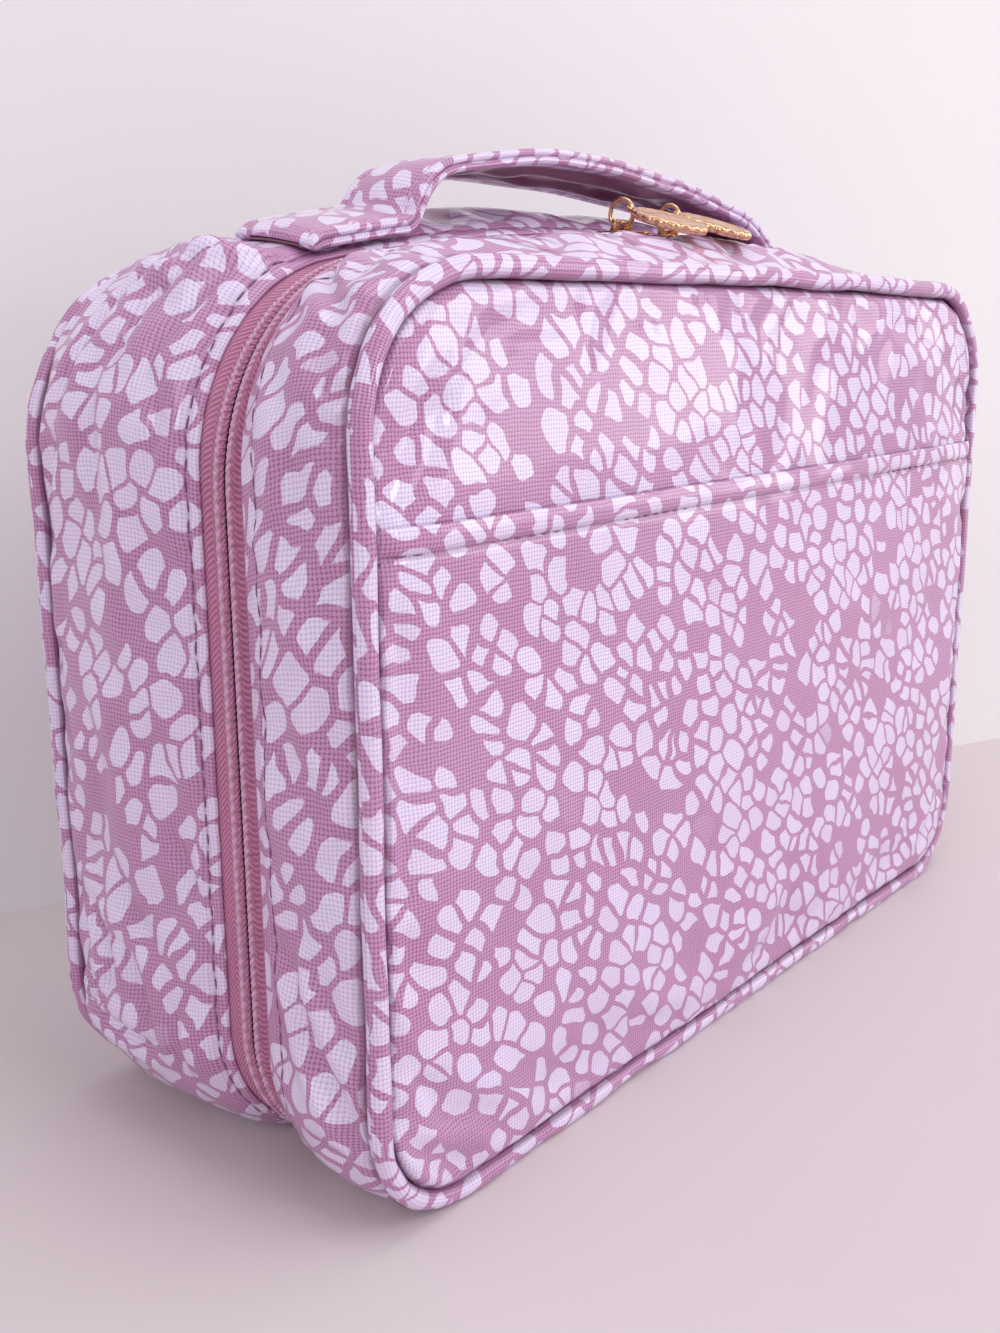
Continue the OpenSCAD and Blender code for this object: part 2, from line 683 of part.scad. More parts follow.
module handle_backing() {
    e = backing_e;
    low = layer_gap;
    color(lining_plum) along_strap([[-e, low], [e, low], [e, canvas_t], [-e, canvas_t]]);
}

back_panel();
back_piping();
rear_gusset();
rear_gusset_foam();
back_panel_foam();
rear_gusset_lining();
back_panel_lining();
back_binding();
rear_zip_tape();
rear_zip_coil();
bottom_hinge();
handle_strap();
handle_core();
handle_backing();
front_panel();
front_pocket();
front_piping();
front_gusset();
front_gusset_foam();
front_panel_foam();
front_gusset_lining();
front_panel_lining();
front_binding();
front_zip_tape();
front_zip_coil();
left_slider();
right_slider();
left_ring();
right_ring();
left_charm();
right_charm();
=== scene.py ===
"""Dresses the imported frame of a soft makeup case: laminated printed canvas over
foam, piping in both seams, a slip pocket, a zip round three sides, a carrying
strap, and two sliders with round charms. All lengths are metres, in the
frame's own axes: +Z is up and the front faces -Y."""

import math

import bmesh
import bpy
import numpy as np
from bpy.props import FloatProperty, FloatVectorProperty, IntProperty, PointerProperty
from mathutils import Matrix, Vector


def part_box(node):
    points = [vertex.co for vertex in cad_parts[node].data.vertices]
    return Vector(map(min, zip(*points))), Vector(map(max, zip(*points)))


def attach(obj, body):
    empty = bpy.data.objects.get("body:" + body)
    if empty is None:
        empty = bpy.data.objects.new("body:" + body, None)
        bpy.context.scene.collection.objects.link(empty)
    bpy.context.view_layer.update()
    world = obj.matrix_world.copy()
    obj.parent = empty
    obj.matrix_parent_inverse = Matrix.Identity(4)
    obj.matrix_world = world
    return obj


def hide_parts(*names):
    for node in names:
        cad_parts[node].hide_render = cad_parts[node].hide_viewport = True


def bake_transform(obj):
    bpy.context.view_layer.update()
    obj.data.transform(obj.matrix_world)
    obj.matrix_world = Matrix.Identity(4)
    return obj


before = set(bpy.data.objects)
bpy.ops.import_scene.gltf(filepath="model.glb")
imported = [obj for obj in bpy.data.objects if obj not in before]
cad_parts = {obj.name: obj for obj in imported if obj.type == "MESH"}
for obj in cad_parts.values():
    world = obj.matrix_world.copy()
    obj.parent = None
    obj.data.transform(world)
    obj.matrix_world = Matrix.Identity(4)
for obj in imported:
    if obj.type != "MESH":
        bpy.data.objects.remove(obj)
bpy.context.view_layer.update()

bl_info = {
    "name": "Soft makeup case",
    "version": (1, 0, 0),
    "blender": (4, 5, 0),
    "location": "3D View > Sidebar > Makeup case",
    "description": "Makes the cloth, zip, strap and metal pieces of a soft makeup case",
    "category": "Add Mesh",
}

MM = 0.001

# ---- planes and places taken from the frame ----

X, Y, Z = range(3)


def middle(node, axis):
    """Middle of a frame node's box along an axis."""
    low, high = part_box(node)
    return (low[axis] + high[axis]) / 2


FRONT_SEAM_Y = middle("front_piping", Y)
BACK_SEAM_Y = middle("back_piping", Y)
LID_EDGE_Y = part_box("front_gusset")[1].y
REAR_EDGE_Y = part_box("rear_gusset")[0].y
ZIP_Y = (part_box("front_zip_coil")[1].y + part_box("rear_zip_coil")[0].y) / 2
ZIP_END_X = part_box("bottom_hinge")[1].x
POCKET_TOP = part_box("front_pocket")[1].z
STRAP_CURL = 1.3 * MM
STRAP_Y = middle("handle_strap", Y) - STRAP_CURL
STRAP_HALF_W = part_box("handle_strap")[1].y - STRAP_Y - 2 * STRAP_CURL


# ---- properties ----


def length(name, default, description, low=0.0):
    """A length that a user can change."""
    return FloatProperty(name=name, description=description, default=default, min=low,
                         precision=5, unit="LENGTH", subtype="DISTANCE")


def colour(name, default, description):
    """A colour that a user can change, given as sRGB from 0 to 255."""
    linear = [(c / 255 / 12.92) if c <= 10 else ((c / 255 + 0.055) / 1.055) ** 2.4
              for c in default]
    return FloatVectorProperty(name=name, description=description, default=linear, size=3,
                               min=0, max=1, subtype="COLOR")


class CaseSizes(bpy.types.PropertyGroup):
    """Sizes of the case's outline, as in the frame."""

    front_width: length("Front width", 0.262, "Width across the front seam")
    front_height: length("Front height", 0.181, "Height of the front seam's corners")
    front_corner: length("Front corner", 0.030, "Top corner radius at the front seam")
    zip_corner: length("Zip corner", 0.044, "Top corner radius along the zip")
    back_corner: length("Back corner", 0.038, "Top corner radius at the back seam")
    front_foot: length("Front foot", 0.024, "Bottom corner radius at the front seam")
    zip_foot: length("Zip foot", 0.034, "Bottom corner radius along the zip")
    back_foot: length("Back foot", 0.028, "Bottom corner radius at the back seam")
    zip_spread: length("Zip spread", 0.0015, "How far each side spreads at the zip")
    back_spread: length("Back spread", 0.0007, "How far each side spreads at the back")
    zip_rise: length("Zip rise", 0.003, "How far the zip line stands above the front")
    back_rise: length("Back rise", 0.0025, "How far the back seam stands above the front")
    lid_swell: length("Lid swell", 0.002, "Swell of the lid's wall")
    rear_swell: length("Rear swell", 0.003, "Swell of the rear wall at the sides")
    rear_top_swell: length("Rear top swell", 0.0035, "Swell of the rear wall on top")
    front_arch: length("Front arch", 0.001, "Arch of the top edge at the front seam")
    zip_arch: length("Zip arch", 0.007, "Arch of the top edge along the zip")
    back_arch: length("Back arch", 0.003, "Arch of the top edge at the back seam")
    arch_swell: length("Arch swell", 0.0045, "Extra arch of the rear wall's top")
    seam_lift: length("Seam lift", 0.0005, "Height of the seams' lowest edge")
    zip_lift: length("Zip lift", 0.0003, "Height of the zip line's lowest edge")
    base_swell: length("Base swell", 0.0011, "How far the padding presses down")


class ClothSizes(bpy.types.PropertyGroup):
    """Sizes of the cloth, its seams and its thread."""

    canvas: length("Canvas", 0.0012, "Thickness of the canvas")
    lining: length("Lining", 0.0008, "Thickness of the lining")
    pocket: length("Pocket", 0.0009, "Thickness of the pocket's canvas")
    gap: length("Gap", 0.0001, "Space between two layers")
    dome: length("Dome", 0.0018, "How far a panel bulges past its edges")
    panel_inset: length("Panel inset", 0.0037, "Distance of a panel's edge from the outline")
    panel_level: length("Panel level", 0.001, "Height of a panel's edge over its seam")
    seam_dip: length("Seam dip", 0.0024, "How far the wall dips into a seam")
    edge_dip: length("Edge dip", 0.0014, "How far the wall dips towards the zip")
    fold_r: length("Fold radius", 0.00055, "Radius of the folded edge along the zip")
    piping_r: length("Piping radius", 0.0022, "Radius of the piping")
    piping_inset: length("Piping inset", 0.0016, "Distance of the piping from the outline")
    hem: length("Hem", 0.0046, "Height of the pocket's folded hem")
    thread_pitch: length("Thread pitch", 0.0008, "Distance between two threads")
    print_cell: length("Print cell", 0.0066, "Size of one pebble of the print")
    stitch_pitch: length("Stitch pitch", 0.0038, "Distance between two stitches")
    stitch_l: length("Stitch length", 0.0028, "Length of a stitch that shows")
    stitch_r: length("Stitch radius", 0.00027, "Radius of the sewing thread")
    growth: FloatProperty(name="Slack", default=0.012, min=0, max=0.1, subtype="FACTOR",
                          description="Share by which the cloth is larger than its shape")
    pressure: FloatProperty(name="Padding pressure", default=1.2, min=0, max=20,
                            description="Pressure of the padding while the cloth settles")


class ZipSizes(bpy.types.PropertyGroup):
    """Sizes of the zip, its sliders and their pulls."""

    tape_depth: length("Tape depth", 0.0025, "Depth of the tape below the outline")
    tape_t: length("Tape thickness", 0.0006, "Thickness of the tape")
    tape_hidden: length("Hidden tape", 0.003, "Width of tape under the canvas")
    coil_w: length("Coil width", 0.0026, "Width of one row of teeth")
    coil_h: length("Coil height", 0.0018, "Height of the teeth over the tape")
    coil_split: length("Coil split", 0.0008, "Space between the two rows")
    coil_pitch: length("Coil pitch", 0.00137, "Distance between two teeth")
    slider_l: length("Slider length", 0.011, "Length of a slider")
    slider_w: length("Slider width", 0.0086, "Width of a slider")
    plate_t: length("Plate thickness", 0.001, "Thickness of a slider's plates")
    ring_d: length("Ring diameter", 0.0076, "Outer diameter of a pull's ring")
    wire_d: length("Wire diameter", 0.0011, "Diameter of the ring's wire")
    bar_d: length("Bar diameter", 0.0009, "Diameter of the bar that holds the ring")
    charm_d: length("Charm diameter", 0.0185, "Diameter of a charm")
    charm_t: length("Charm thickness", 0.002, "Thickness of a charm")
    left_x: length("Left slider", -0.008, "Place of the left slider along the top", -0.1)
    right_x: length("Right slider", 0.012, "Place of the right slider along the top", -0.1)
    flutes: IntProperty(name="Flutes", default=16, min=8, max=32,
                        description="Number of flutes round a charm")


class StrapSizes(bpy.types.PropertyGroup):
    """Sizes of the carrying strap."""

    thickness: length("Thickness", 0.0034, "Thickness of the folded strap")
    fold: length("Fold", 0.004, "Width of canvas folded under each edge")
    reach: length("Reach", 0.102, "Distance from the middle to each end")
    sewn: length("Sewn", 0.027, "Length sewn down at each end")
    rise: length("Rise", 0.0088, "Height of the highest point over the case")
    peak_x: length("Peak", -0.020, "Place of the highest point along the top", -0.1)
    lift: length("Lift", 0.0003, "Gap between the sewn ends and the case")
    heel_r: length("Heel radius", 0.006, "Radius where the strap meets the case")
    left_r: length("Left shoulder", 0.014, "Radius of the left shoulder")
    right_r: length("Right shoulder", 0.040, "Radius of the right shoulder")


class CaseColours(bpy.types.PropertyGroup):
    """Colours of the cloth, the metal and the stage."""

    light: colour("Pebbles", (236, 223, 252), "Light pebbles of the print")
    ground: colour("Ground", (200, 142, 188), "Ground of the print")
    # Also the colour, made darker, of the painted shade in seams and grooves
    pit: colour("Pits", (125, 66, 104), "Dark pits between the threads")
    tape: colour("Tape", (202, 130, 167), "Zip tape")
    coil: colour("Coil", (196, 122, 160), "Teeth of the zip")
    chain: colour("Chain stitches", (216, 164, 198), "Thread on the zip's teeth")
    # Dark so that the dashes also carry the shade in their groove: partly the thread's own colour,
    # partly painted shade
    thread: colour("Thread", (134, 78, 118), "Thread of the topstitching")
    backing: colour("Backing", (120, 52, 88), "Underside of the strap")
    lining: colour("Lining", (150, 98, 124), "Lining")
    gold: colour("Gold", (230, 184, 148), "Metal of the sliders and the charms")
    floor: colour("Floor", (215, 203, 206), "Floor")
    wall: colour("Wall", (237, 234, 235), "Wall behind the case")


def case():
    """The outline's sizes."""
    return bpy.context.scene.case_sizes


def cloth():
    """The cloth's sizes."""
    return bpy.context.scene.cloth_sizes


def zipper():
    """The zip's sizes."""
    return bpy.context.scene.zip_sizes


def strap():
    """The strap's sizes."""
    return bpy.context.scene.strap_sizes


def colours():
    """The colours."""
    return bpy.context.scene.case_colours


# ---- the case's outline ----


def mix(a, b, t):
    """Value at share t between a and b."""
    return a + (b - a) * t


def soft_step(low, high, value):
    """0 before low, 1 after high, with a soft step between them."""
    t = np.clip((value - low) / (high - low), 0, 1)
    return t * t * (3 - 2 * t)


def outline(y):
    """The outline at depth y: half width, top corner radius, height of the top
    corners, arch between them, bottom corner radius and height of the base."""
    s = case()
    y = np.asarray(y, float)
    lid = np.clip((y - FRONT_SEAM_Y) / (ZIP_Y - FRONT_SEAM_Y), 0, 1)
    rear = np.clip((y - ZIP_Y) / (BACK_SEAM_Y - ZIP_Y), 0, 1)
    ahead = y < ZIP_Y

    def along(front, zip_value, back):
        return np.where(ahead, mix(front, zip_value, lid), mix(zip_value, back, rear))

    def swell(front, back):
        return np.where(ahead, front * np.sin(np.pi * lid), back * np.sin(np.pi * rear))

    return (
        s.front_width / 2 + along(0, s.zip_spread, s.back_spread)
        + swell(s.lid_swell, s.rear_swell),
        along(s.front_corner, s.zip_corner, s.back_corner),
        s.front_height + along(0, s.zip_rise, s.back_rise)
        + swell(s.lid_swell, s.rear_top_swell),
        along(s.front_arch, s.zip_arch, s.back_arch) + swell(s.lid_swell, s.arch_swell),
        along(s.front_foot, s.zip_foot, s.back_foot),
        along(s.seam_lift, s.zip_lift, s.seam_lift) - swell(s.base_swell, s.base_swell),
    )


def arcs(y):
    """Middle of the top corner, radius, middle height and turn of the top arch."""
    half, top_r, level, arch, _, _ = outline(y)
    corner_x = half - top_r
    arch_r = top_r + (corner_x ** 2 + arch ** 2) / (2 * arch)
    return (corner_x, arch_r, level + arch - arch_r,
            np.arctan2(corner_x, arch_r - top_r - arch))


def outline_shares():
    """Where the arch, corner, side, foot and base begin along half the zip's
    outline, as shares, and the length of that half."""
    half, top_r, level, _, foot_r, base = outline(ZIP_Y)
    _, arch_r, _, turn = arcs(ZIP_Y)
    lengths = [arch_r * turn, top_r * (np.pi / 2 - turn), level - top_r - base - foot_r,
               foot_r * np.pi / 2, half - foot_r]
    total = np.cumsum([0, *lengths])
    return total / total[-1], total[-1]


def rim(u, y, inset=0.0):
    """Point and outward normal at share u of the outline at depth y. u is 0 at the
    top middle, 1 or -1 at the bottom middle and negative on the left."""
    u, y, inset = np.broadcast_arrays(np.asarray(u, float), np.asarray(y, float), inset)
    shares, _ = outline_shares()
    half, top_r, level, _, foot_r, base = outline(y)
    corner_x, arch_r, arch_z, turn = arcs(y)
    t = np.abs(u)
    k = np.clip(np.searchsorted(shares, t, side="right") - 1, 0, 4)
    q = (t - shares[k]) / (shares[k + 1] - shares[k])
    parts = [k == n for n in range(5)]
    right = np.full(q.shape, np.pi / 2)
    angle = np.select(parts, [turn * q, mix(turn, np.pi / 2, q), right, right * (1 + q),
                              2 * right])
    nx, nz = np.sin(angle), np.cos(angle)
    x = np.select(parts, [(arch_r - inset) * nx, corner_x + (top_r - inset) * nx, half - inset,
                          half - foot_r + (foot_r - inset) * nx, mix(half - foot_r, 0, q)])
    z = np.select(parts, [arch_z + (arch_r - inset) * nz,
                          level - top_r + (top_r - inset) * nz,
                          mix(level - top_r, base + foot_r, q),
                          base + foot_r + (foot_r - inset) * nz, base + inset])
    side = np.where(u < 0, -1.0, 1.0)
    return (np.stack([x * side, y, z], -1),
            np.stack([nx * side, np.zeros_like(nx), nz], -1))


def around(u, y, out, depth):
    """Points that stand out from the outline at depth y and are brought to another
    depth, above the floor."""
    base, normal = rim(u, y)
    points = base + normal * out[..., None]
    points[..., Y] = depth
    points[..., Z] = np.maximum(points[..., Z], 0)
    return points


def share_at_base(x):
    """Share u at which the zip's outline is x from the middle of the base."""
    shares, _ = outline_shares()
    half, _, _, _, foot_r, _ = outline(ZIP_Y)
    return float(mix(shares[4], 1, 1 - x / (half - foot_r)))


def top_z(x, y):
    """Height of the case's top at x and depth y."""
    _, top_r, level, _, _, _ = outline(y)
    corner_x, arch_r, arch_z, turn = arcs(y)
    x = np.abs(x)
    on_arch = arch_z + np.sqrt(np.maximum(arch_r ** 2 - x ** 2, 0))
    past = np.clip(x - corner_x, 0, top_r)
    on_corner = level - top_r + np.sqrt(np.maximum(top_r ** 2 - past ** 2, 0))
    return np.where(x < arch_r * np.sin(turn), on_arch, on_corner)


# ---- soft surfaces ----


def ripple(a, b, scale, seed, waves=7):
    """A soft uneven surface, about -1 to 1, with bumps about scale across."""
    rng = np.random.default_rng(seed)
    total = 0.0
    for _ in range(waves):
        turn, phase = rng.uniform(0, 2 * np.pi, 2)
        pace = rng.uniform(0.6, 1.5) * 2 * np.pi / scale
        total = total + np.sin((a * np.cos(turn) + b * np.sin(turn)) * pace + phase)
    return total / math.sqrt(waves)


def to_line(a, b, line):
    """Distance of each point (a, b) from a line, and the share along it."""
    best = np.full(np.broadcast(a, b).shape, np.inf)
    share = np.zeros(best.shape)
    steps = [math.dist(p, q) for p, q in zip(line, line[1:])]
    start = 0.0
    for (p, q), step in zip(zip(line, line[1:]), steps):
        da, db = (q[0] - p[0]) / step, (q[1] - p[1]) / step
        t = np.clip((a - p[0]) * da + (b - p[1]) * db, 0, step)
        distance = np.hypot(a - p[0] - t * da, b - p[1] - t * db)
        closer = distance < best
        best = np.where(closer, distance, best)
        share = np.where(closer, (start + t) / sum(steps), share)
        start += step
    return best, share


def crease(a, b, line, depth, width):
    """A fold along a line: a narrow valley between two raised sides."""
    distance, share = to_line(a, b, line)
    fade = np.sqrt(np.sin(np.pi * np.clip(share, 0, 1)).clip(0))
    valley = np.exp(-(distance / width) ** 2)
    sides = np.exp(-((distance - 2.3 * width) / (1.4 * width)) ** 2)
    return fade * depth * (0.5 * sides - valley)


def groove(distance, depth, width):
    """A soft channel along a line that is distance away."""
    return -depth * np.exp(-(distance / width) ** 2)


# Painted shade: the mesh attribute that darkens the canvas in seam ditches, topstitch grooves and
# under the pocket's hem, and how much of it the faces get at their seams
PAINTED_SEAM_SHADE = "seam"
PANEL_SEAM_PAINTED_SHADE = 0.75
MERGE = 1e-6


def add_object(name, data):
    """A new object in the scene."""
    obj = bpy.data.objects.new(name, data)
    bpy.context.scene.collection.objects.link(obj)
    return obj


def rotate(bm, verts, axis, angle=math.pi / 2):
    """Turns points about an axis through the origin."""
    bmesh.ops.rotate(bm, matrix=Matrix.Rotation(angle, 3, axis), verts=verts)


def move(bm, verts, x, y, z):
    """Moves points."""
    bmesh.ops.translate(bm, vec=(x, y, z), verts=verts)


def make_grid(name, us, vs, place, closed=False, flip=False):
    """A mesh object of len(us) by len(vs) points. place(u, v) gives each point's
    place, its UV in metres and, for some, its painted seam shade from 0 to 1.
    A closed grid is joined where u ends."""
    bm = bmesh.new()
    bmesh.ops.create_grid(bm, x_segments=len(us) - 1, y_segments=len(vs) - 1, size=0.5)
    if flip:
        bmesh.ops.reverse_faces(bm, faces=bm.faces)
    mesh = bpy.data.meshes.new(name)
    bm.to_mesh(mesh)
    count = len(mesh.vertices)
    co = np.zeros(count * 3, np.float32)
    mesh.vertices.foreach_get("co", co)
    co = co.reshape(-1, 3)
    i = np.rint((co[:, 0] + 0.5) * (len(us) - 1)).astype(int)
    j = np.rint((co[:, 1] + 0.5) * (len(vs) - 1)).astype(int)
    points, uv, *seam = place(np.asarray(us)[i], np.asarray(vs)[j])
    mesh.vertices.foreach_set("co", points.astype(np.float32).ravel())
    layer = mesh.uv_layers.new(name="UVMap")
    corners = np.zeros(len(mesh.loops), np.int32)
    mesh.loops.foreach_get("vertex_index", corners)
    layer.data.foreach_set("uv", uv[corners].astype(np.float32).ravel())
    # Painted shade in seams and grooves, kept on the mesh for the canvas material
    if seam:
        depth = mesh.attributes.new(PAINTED_SEAM_SHADE, "FLOAT", "POINT")
        depth.data.foreach_set("value", seam[0].astype(np.float32).ravel())
    mesh.update()
    if closed:
        bm.clear()
        bm.from_mesh(mesh)
        bmesh.ops.remove_doubles(bm, verts=bm.verts, dist=MERGE)
        bm.to_mesh(mesh)
    bm.free()
    mesh.shade_smooth()
    return add_object(name, mesh)


def from_bmesh(name, bm, smooth=True):
    """A new object of a mesh in the making, shaded smooth or flat."""
    mesh = bpy.data.meshes.new(name)
    bm.to_mesh(mesh)
    bm.free()
    if smooth:
        mesh.shade_smooth()
    return add_object(name, mesh)


def join(bm, part):
    """Adds a finished part to a mesh in the making."""
    mesh = bpy.data.meshes.new("part")
    part.to_mesh(mesh)
    part.free()
    bm.from_mesh(mesh)
    bpy.data.meshes.remove(mesh)


def spread(count, low=-1.0, high=1.0):
    """count evenly spaced values."""
    return np.linspace(low, high, count)


def thicken(obj, thickness):
    """Gives a sheet its thickness, inwards from the side that shows."""
    wall = obj.modifiers.new("Thickness", "SOLIDIFY")
    wall.thickness = thickness
    wall.offset = -1
    wall.use_even_offset = False
    return obj


def dress(obj, body, material, slot, *nodes):
    """Gives a piece its body and its material by name, and hides the frame's nodes
    that it stands for. slot is not used."""
    obj.data.materials.append(material_of(material))
    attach(obj, body)
    if nodes:
        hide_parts(*nodes)
    return obj


SETTLE_FRAMES = 20
CANVAS_FEEL = {"quality": 6, "mass": 0.35, "tension_stiffness": 25, "compression_stiffness": 25,
               "shear_stiffness": 12, "bending_stiffness": 0.35, "use_pressure": True}


def settle(us, vs, place, held, limit):
    """Lets a coarse copy of a cloth settle under the pressure of its padding, and
    gives how far each of its points moved, at most about limit. held(u, v) says
    which points are sewn down."""
    shape = (len(us), len(vs))
    scene = bpy.context.scene
    obj = make_grid("settling", us, vs, place)
    rest = np.zeros(len(obj.data.vertices) * 3, np.float32)
    obj.data.vertices.foreach_get("co", rest)
    bm = bmesh.new()
    bmesh.ops.create_grid(bm, x_segments=shape[0] - 1, y_segments=shape[1] - 1, size=0.5)
    i = [round((v.co.x + 0.5) * (shape[0] - 1)) for v in bm.verts]
    j = [round((v.co.y + 0.5) * (shape[1] - 1)) for v in bm.verts]
    bm.free()
    group = obj.vertex_groups.new(name="sewn")
    sewn = held(np.asarray(us)[i], np.asarray(vs)[j])
    group.add([int(n) for n in np.nonzero(sewn)[0]], 1.0, "REPLACE")
    modifier = obj.modifiers.new("Settle", "CLOTH")
    modifier.point_cache.frame_start = 1
    modifier.point_cache.frame_end = SETTLE_FRAMES
    modifier.collision_settings.use_collision = False
    modifier.collision_settings.use_self_collision = False
    settings = modifier.settings
    for option, value in CANVAS_FEEL.items():
        setattr(settings, option, value)
    settings.shrink_min = -cloth().growth
    settings.uniform_pressure_force = cloth().pressure
    settings.vertex_group_mass = group.name
    settings.effector_weights.gravity = 0
    for step in range(1, SETTLE_FRAMES + 1):
        scene.frame_set(step)
    shown = obj.evaluated_get(bpy.context.evaluated_depsgraph_get()).to_mesh()
    moved = np.zeros(len(shown.vertices) * 3, np.float32)
    shown.vertices.foreach_get("co", moved)
    bpy.data.objects.remove(obj)
    scene.frame_set(1)
    offset = (moved - rest).reshape(-1, 3)
    size = np.linalg.norm(offset, axis=1, keepdims=True) + 1e-9
    offset *= limit * np.tanh(size / limit) / size
    field = np.zeros((*shape, 3))
    field[i, j] = offset
    return us, vs, field


def cubic(t):
    """Weights of four neighbours for a smooth curve through the middle two."""
    return np.stack([(-t + 2 * t ** 2 - t ** 3) / 2, (2 - 5 * t ** 2 + 3 * t ** 3) / 2,
                     (t + 4 * t ** 2 - 3 * t ** 3) / 2, (t ** 3 - t ** 2) / 2], -1)


def settled(field, u, v):
    """How far the settled cloth moved at (u, v), read smoothly between its points."""
    us, vs, offset = field
    fu = (u - us[0]) / (us[-1] - us[0]) * (len(us) - 1)
    fv = (v - vs[0]) / (vs[-1] - vs[0]) * (len(vs) - 1)
    i = np.clip(np.floor(fu).astype(int), 0, len(us) - 2)
    j = np.clip(np.floor(fv).astype(int), 0, len(vs) - 2)
    wu, wv = cubic(np.clip(fu - i, 0, 1)), cubic(np.clip(fv - j, 0, 1))
    total = 0.0
    for a in range(4):
        for b in range(4):
            near = offset[np.clip(i + a - 1, 0, len(us) - 1), np.clip(j + b - 1, 0, len(vs) - 1)]
            total = total + near * (wu[..., a] * wv[..., b])[..., None]
    return total


# ---- materials ----


def add_node(tree, kind, **settings):
    """A new node of a tree, with its settings."""
    made = tree.nodes.new(kind)
    for name, value in settings.items():
        setattr(made, name, value)
    return made


def feed(tree, target, value):
    """Links an output to a socket, or sets the socket's value."""
    if isinstance(value, bpy.types.NodeSocket):
        tree.links.new(value, target)
    else:
        target.default_value = value


def fill(tree, made, **values):
    """Feeds a node's inputs by their names, with _ for a space."""
    for name, value in values.items():
        feed(tree, made.inputs[name.replace("_", " ")], value)
    return made.outputs


def sums(tree, operation, *values):
    """A math node's output."""
    made = add_node(tree, "ShaderNodeMath", operation=operation)
    for socket, value in zip(made.inputs, values):
        feed(tree, socket, value)
    return made.outputs[0]


def remap(tree, value, low, high, to_low=0.0, to_high=1.0, soft=True):
    """A value brought from one range to another."""
    made = add_node(tree, "ShaderNodeMapRange",
                    interpolation_type="SMOOTHSTEP" if soft else "LINEAR")
    for socket, item in zip(made.inputs, (value, low, high, to_low, to_high)):
        feed(tree, socket, item)
    return made.outputs[0]


def vectors(tree, operation, *values, **named):
    """A vector math node's output."""
    made = add_node(tree, "ShaderNodeVectorMath", operation=operation)
    for socket, value in zip(made.inputs, values):
        feed(tree, socket, value)
    return fill(tree, made, **named)[0]


def blend_colours(tree, share, first, second):
    """Two colours mixed by a share."""
    made = add_node(tree, "ShaderNodeMix", data_type="RGBA")
    feed(tree, made.inputs[0], share)
    feed(tree, made.inputs[6], first)
    feed(tree, made.inputs[7], second)
    return made.outputs[2]


def tint(tree, shade, mask, most, towards):
    """A shade brought towards a colour where a mask says, by a share at most."""
    return blend_colours(tree, sums(tree, "MULTIPLY", mask, most), shade, towards)


def noise_at(tree, vector, scale, detail=2.0):
    """A noise texture's value and colour."""
    made = add_node(tree, "ShaderNodeTexNoise")
    fill(tree, made, Vector=vector, Scale=scale, Detail=detail)
    return made.outputs["Fac"], made.outputs["Color"]


VECTOR, NUMBER, TINT = "NodeSocketVector", "NodeSocketFloat", "NodeSocketColor"
PRINT_TURN = math.radians(38)


def new_group(name, inputs, outputs):
    """An empty node group with named sockets."""
    tree = bpy.data.node_groups.new(name, "ShaderNodeTree")
    for label, kind in inputs:
        tree.interface.new_socket(label, in_out="INPUT", socket_type=kind)
    for label, kind in outputs:
        tree.interface.new_socket(label, in_out="OUTPUT", socket_type=kind)
    source = tree.nodes.new("NodeGroupInput").outputs
    target = tree.nodes.new("NodeGroupOutput").inputs
    return tree, source, target


def weave_group():
    """Plain weave: warp and weft threads that pass over and under each other."""
    tree, source, target = new_group("Weave", [("Vector", VECTOR), ("Pitch", NUMBER)],
                                     [("Height", NUMBER), ("Pits", NUMBER)])
    x, y, _ = fill(tree, add_node(tree, "ShaderNodeSeparateXYZ"), Vector=source["Vector"])
    wobble, _ = noise_at(tree, source["Vector"], 260)
    shift = sums(tree, "MULTIPLY", sums(tree, "SUBTRACT", wobble, 0.5), 0.9)
    waves = []
    for axis in (x, y):
        turns = sums(tree, "ADD", sums(tree, "DIVIDE", axis, source["Pitch"]), shift)
        waves.append(sums(tree, "SINE", sums(tree, "MULTIPLY", turns, math.pi)))
    cross = sums(tree, "MULTIPLY", *waves)
    warp = sums(tree, "ADD", sums(tree, "ABSOLUTE", waves[0]), cross)
    weft = sums(tree, "SUBTRACT", sums(tree, "ABSOLUTE", waves[1]), cross)
    height = sums(tree, "MULTIPLY", sums(tree, "MAXIMUM", warp, weft), 0.5)
    feed(tree, target["Height"], height)
    feed(tree, target["Pits"], remap(tree, height, 0.62, 0.2))
    return tree


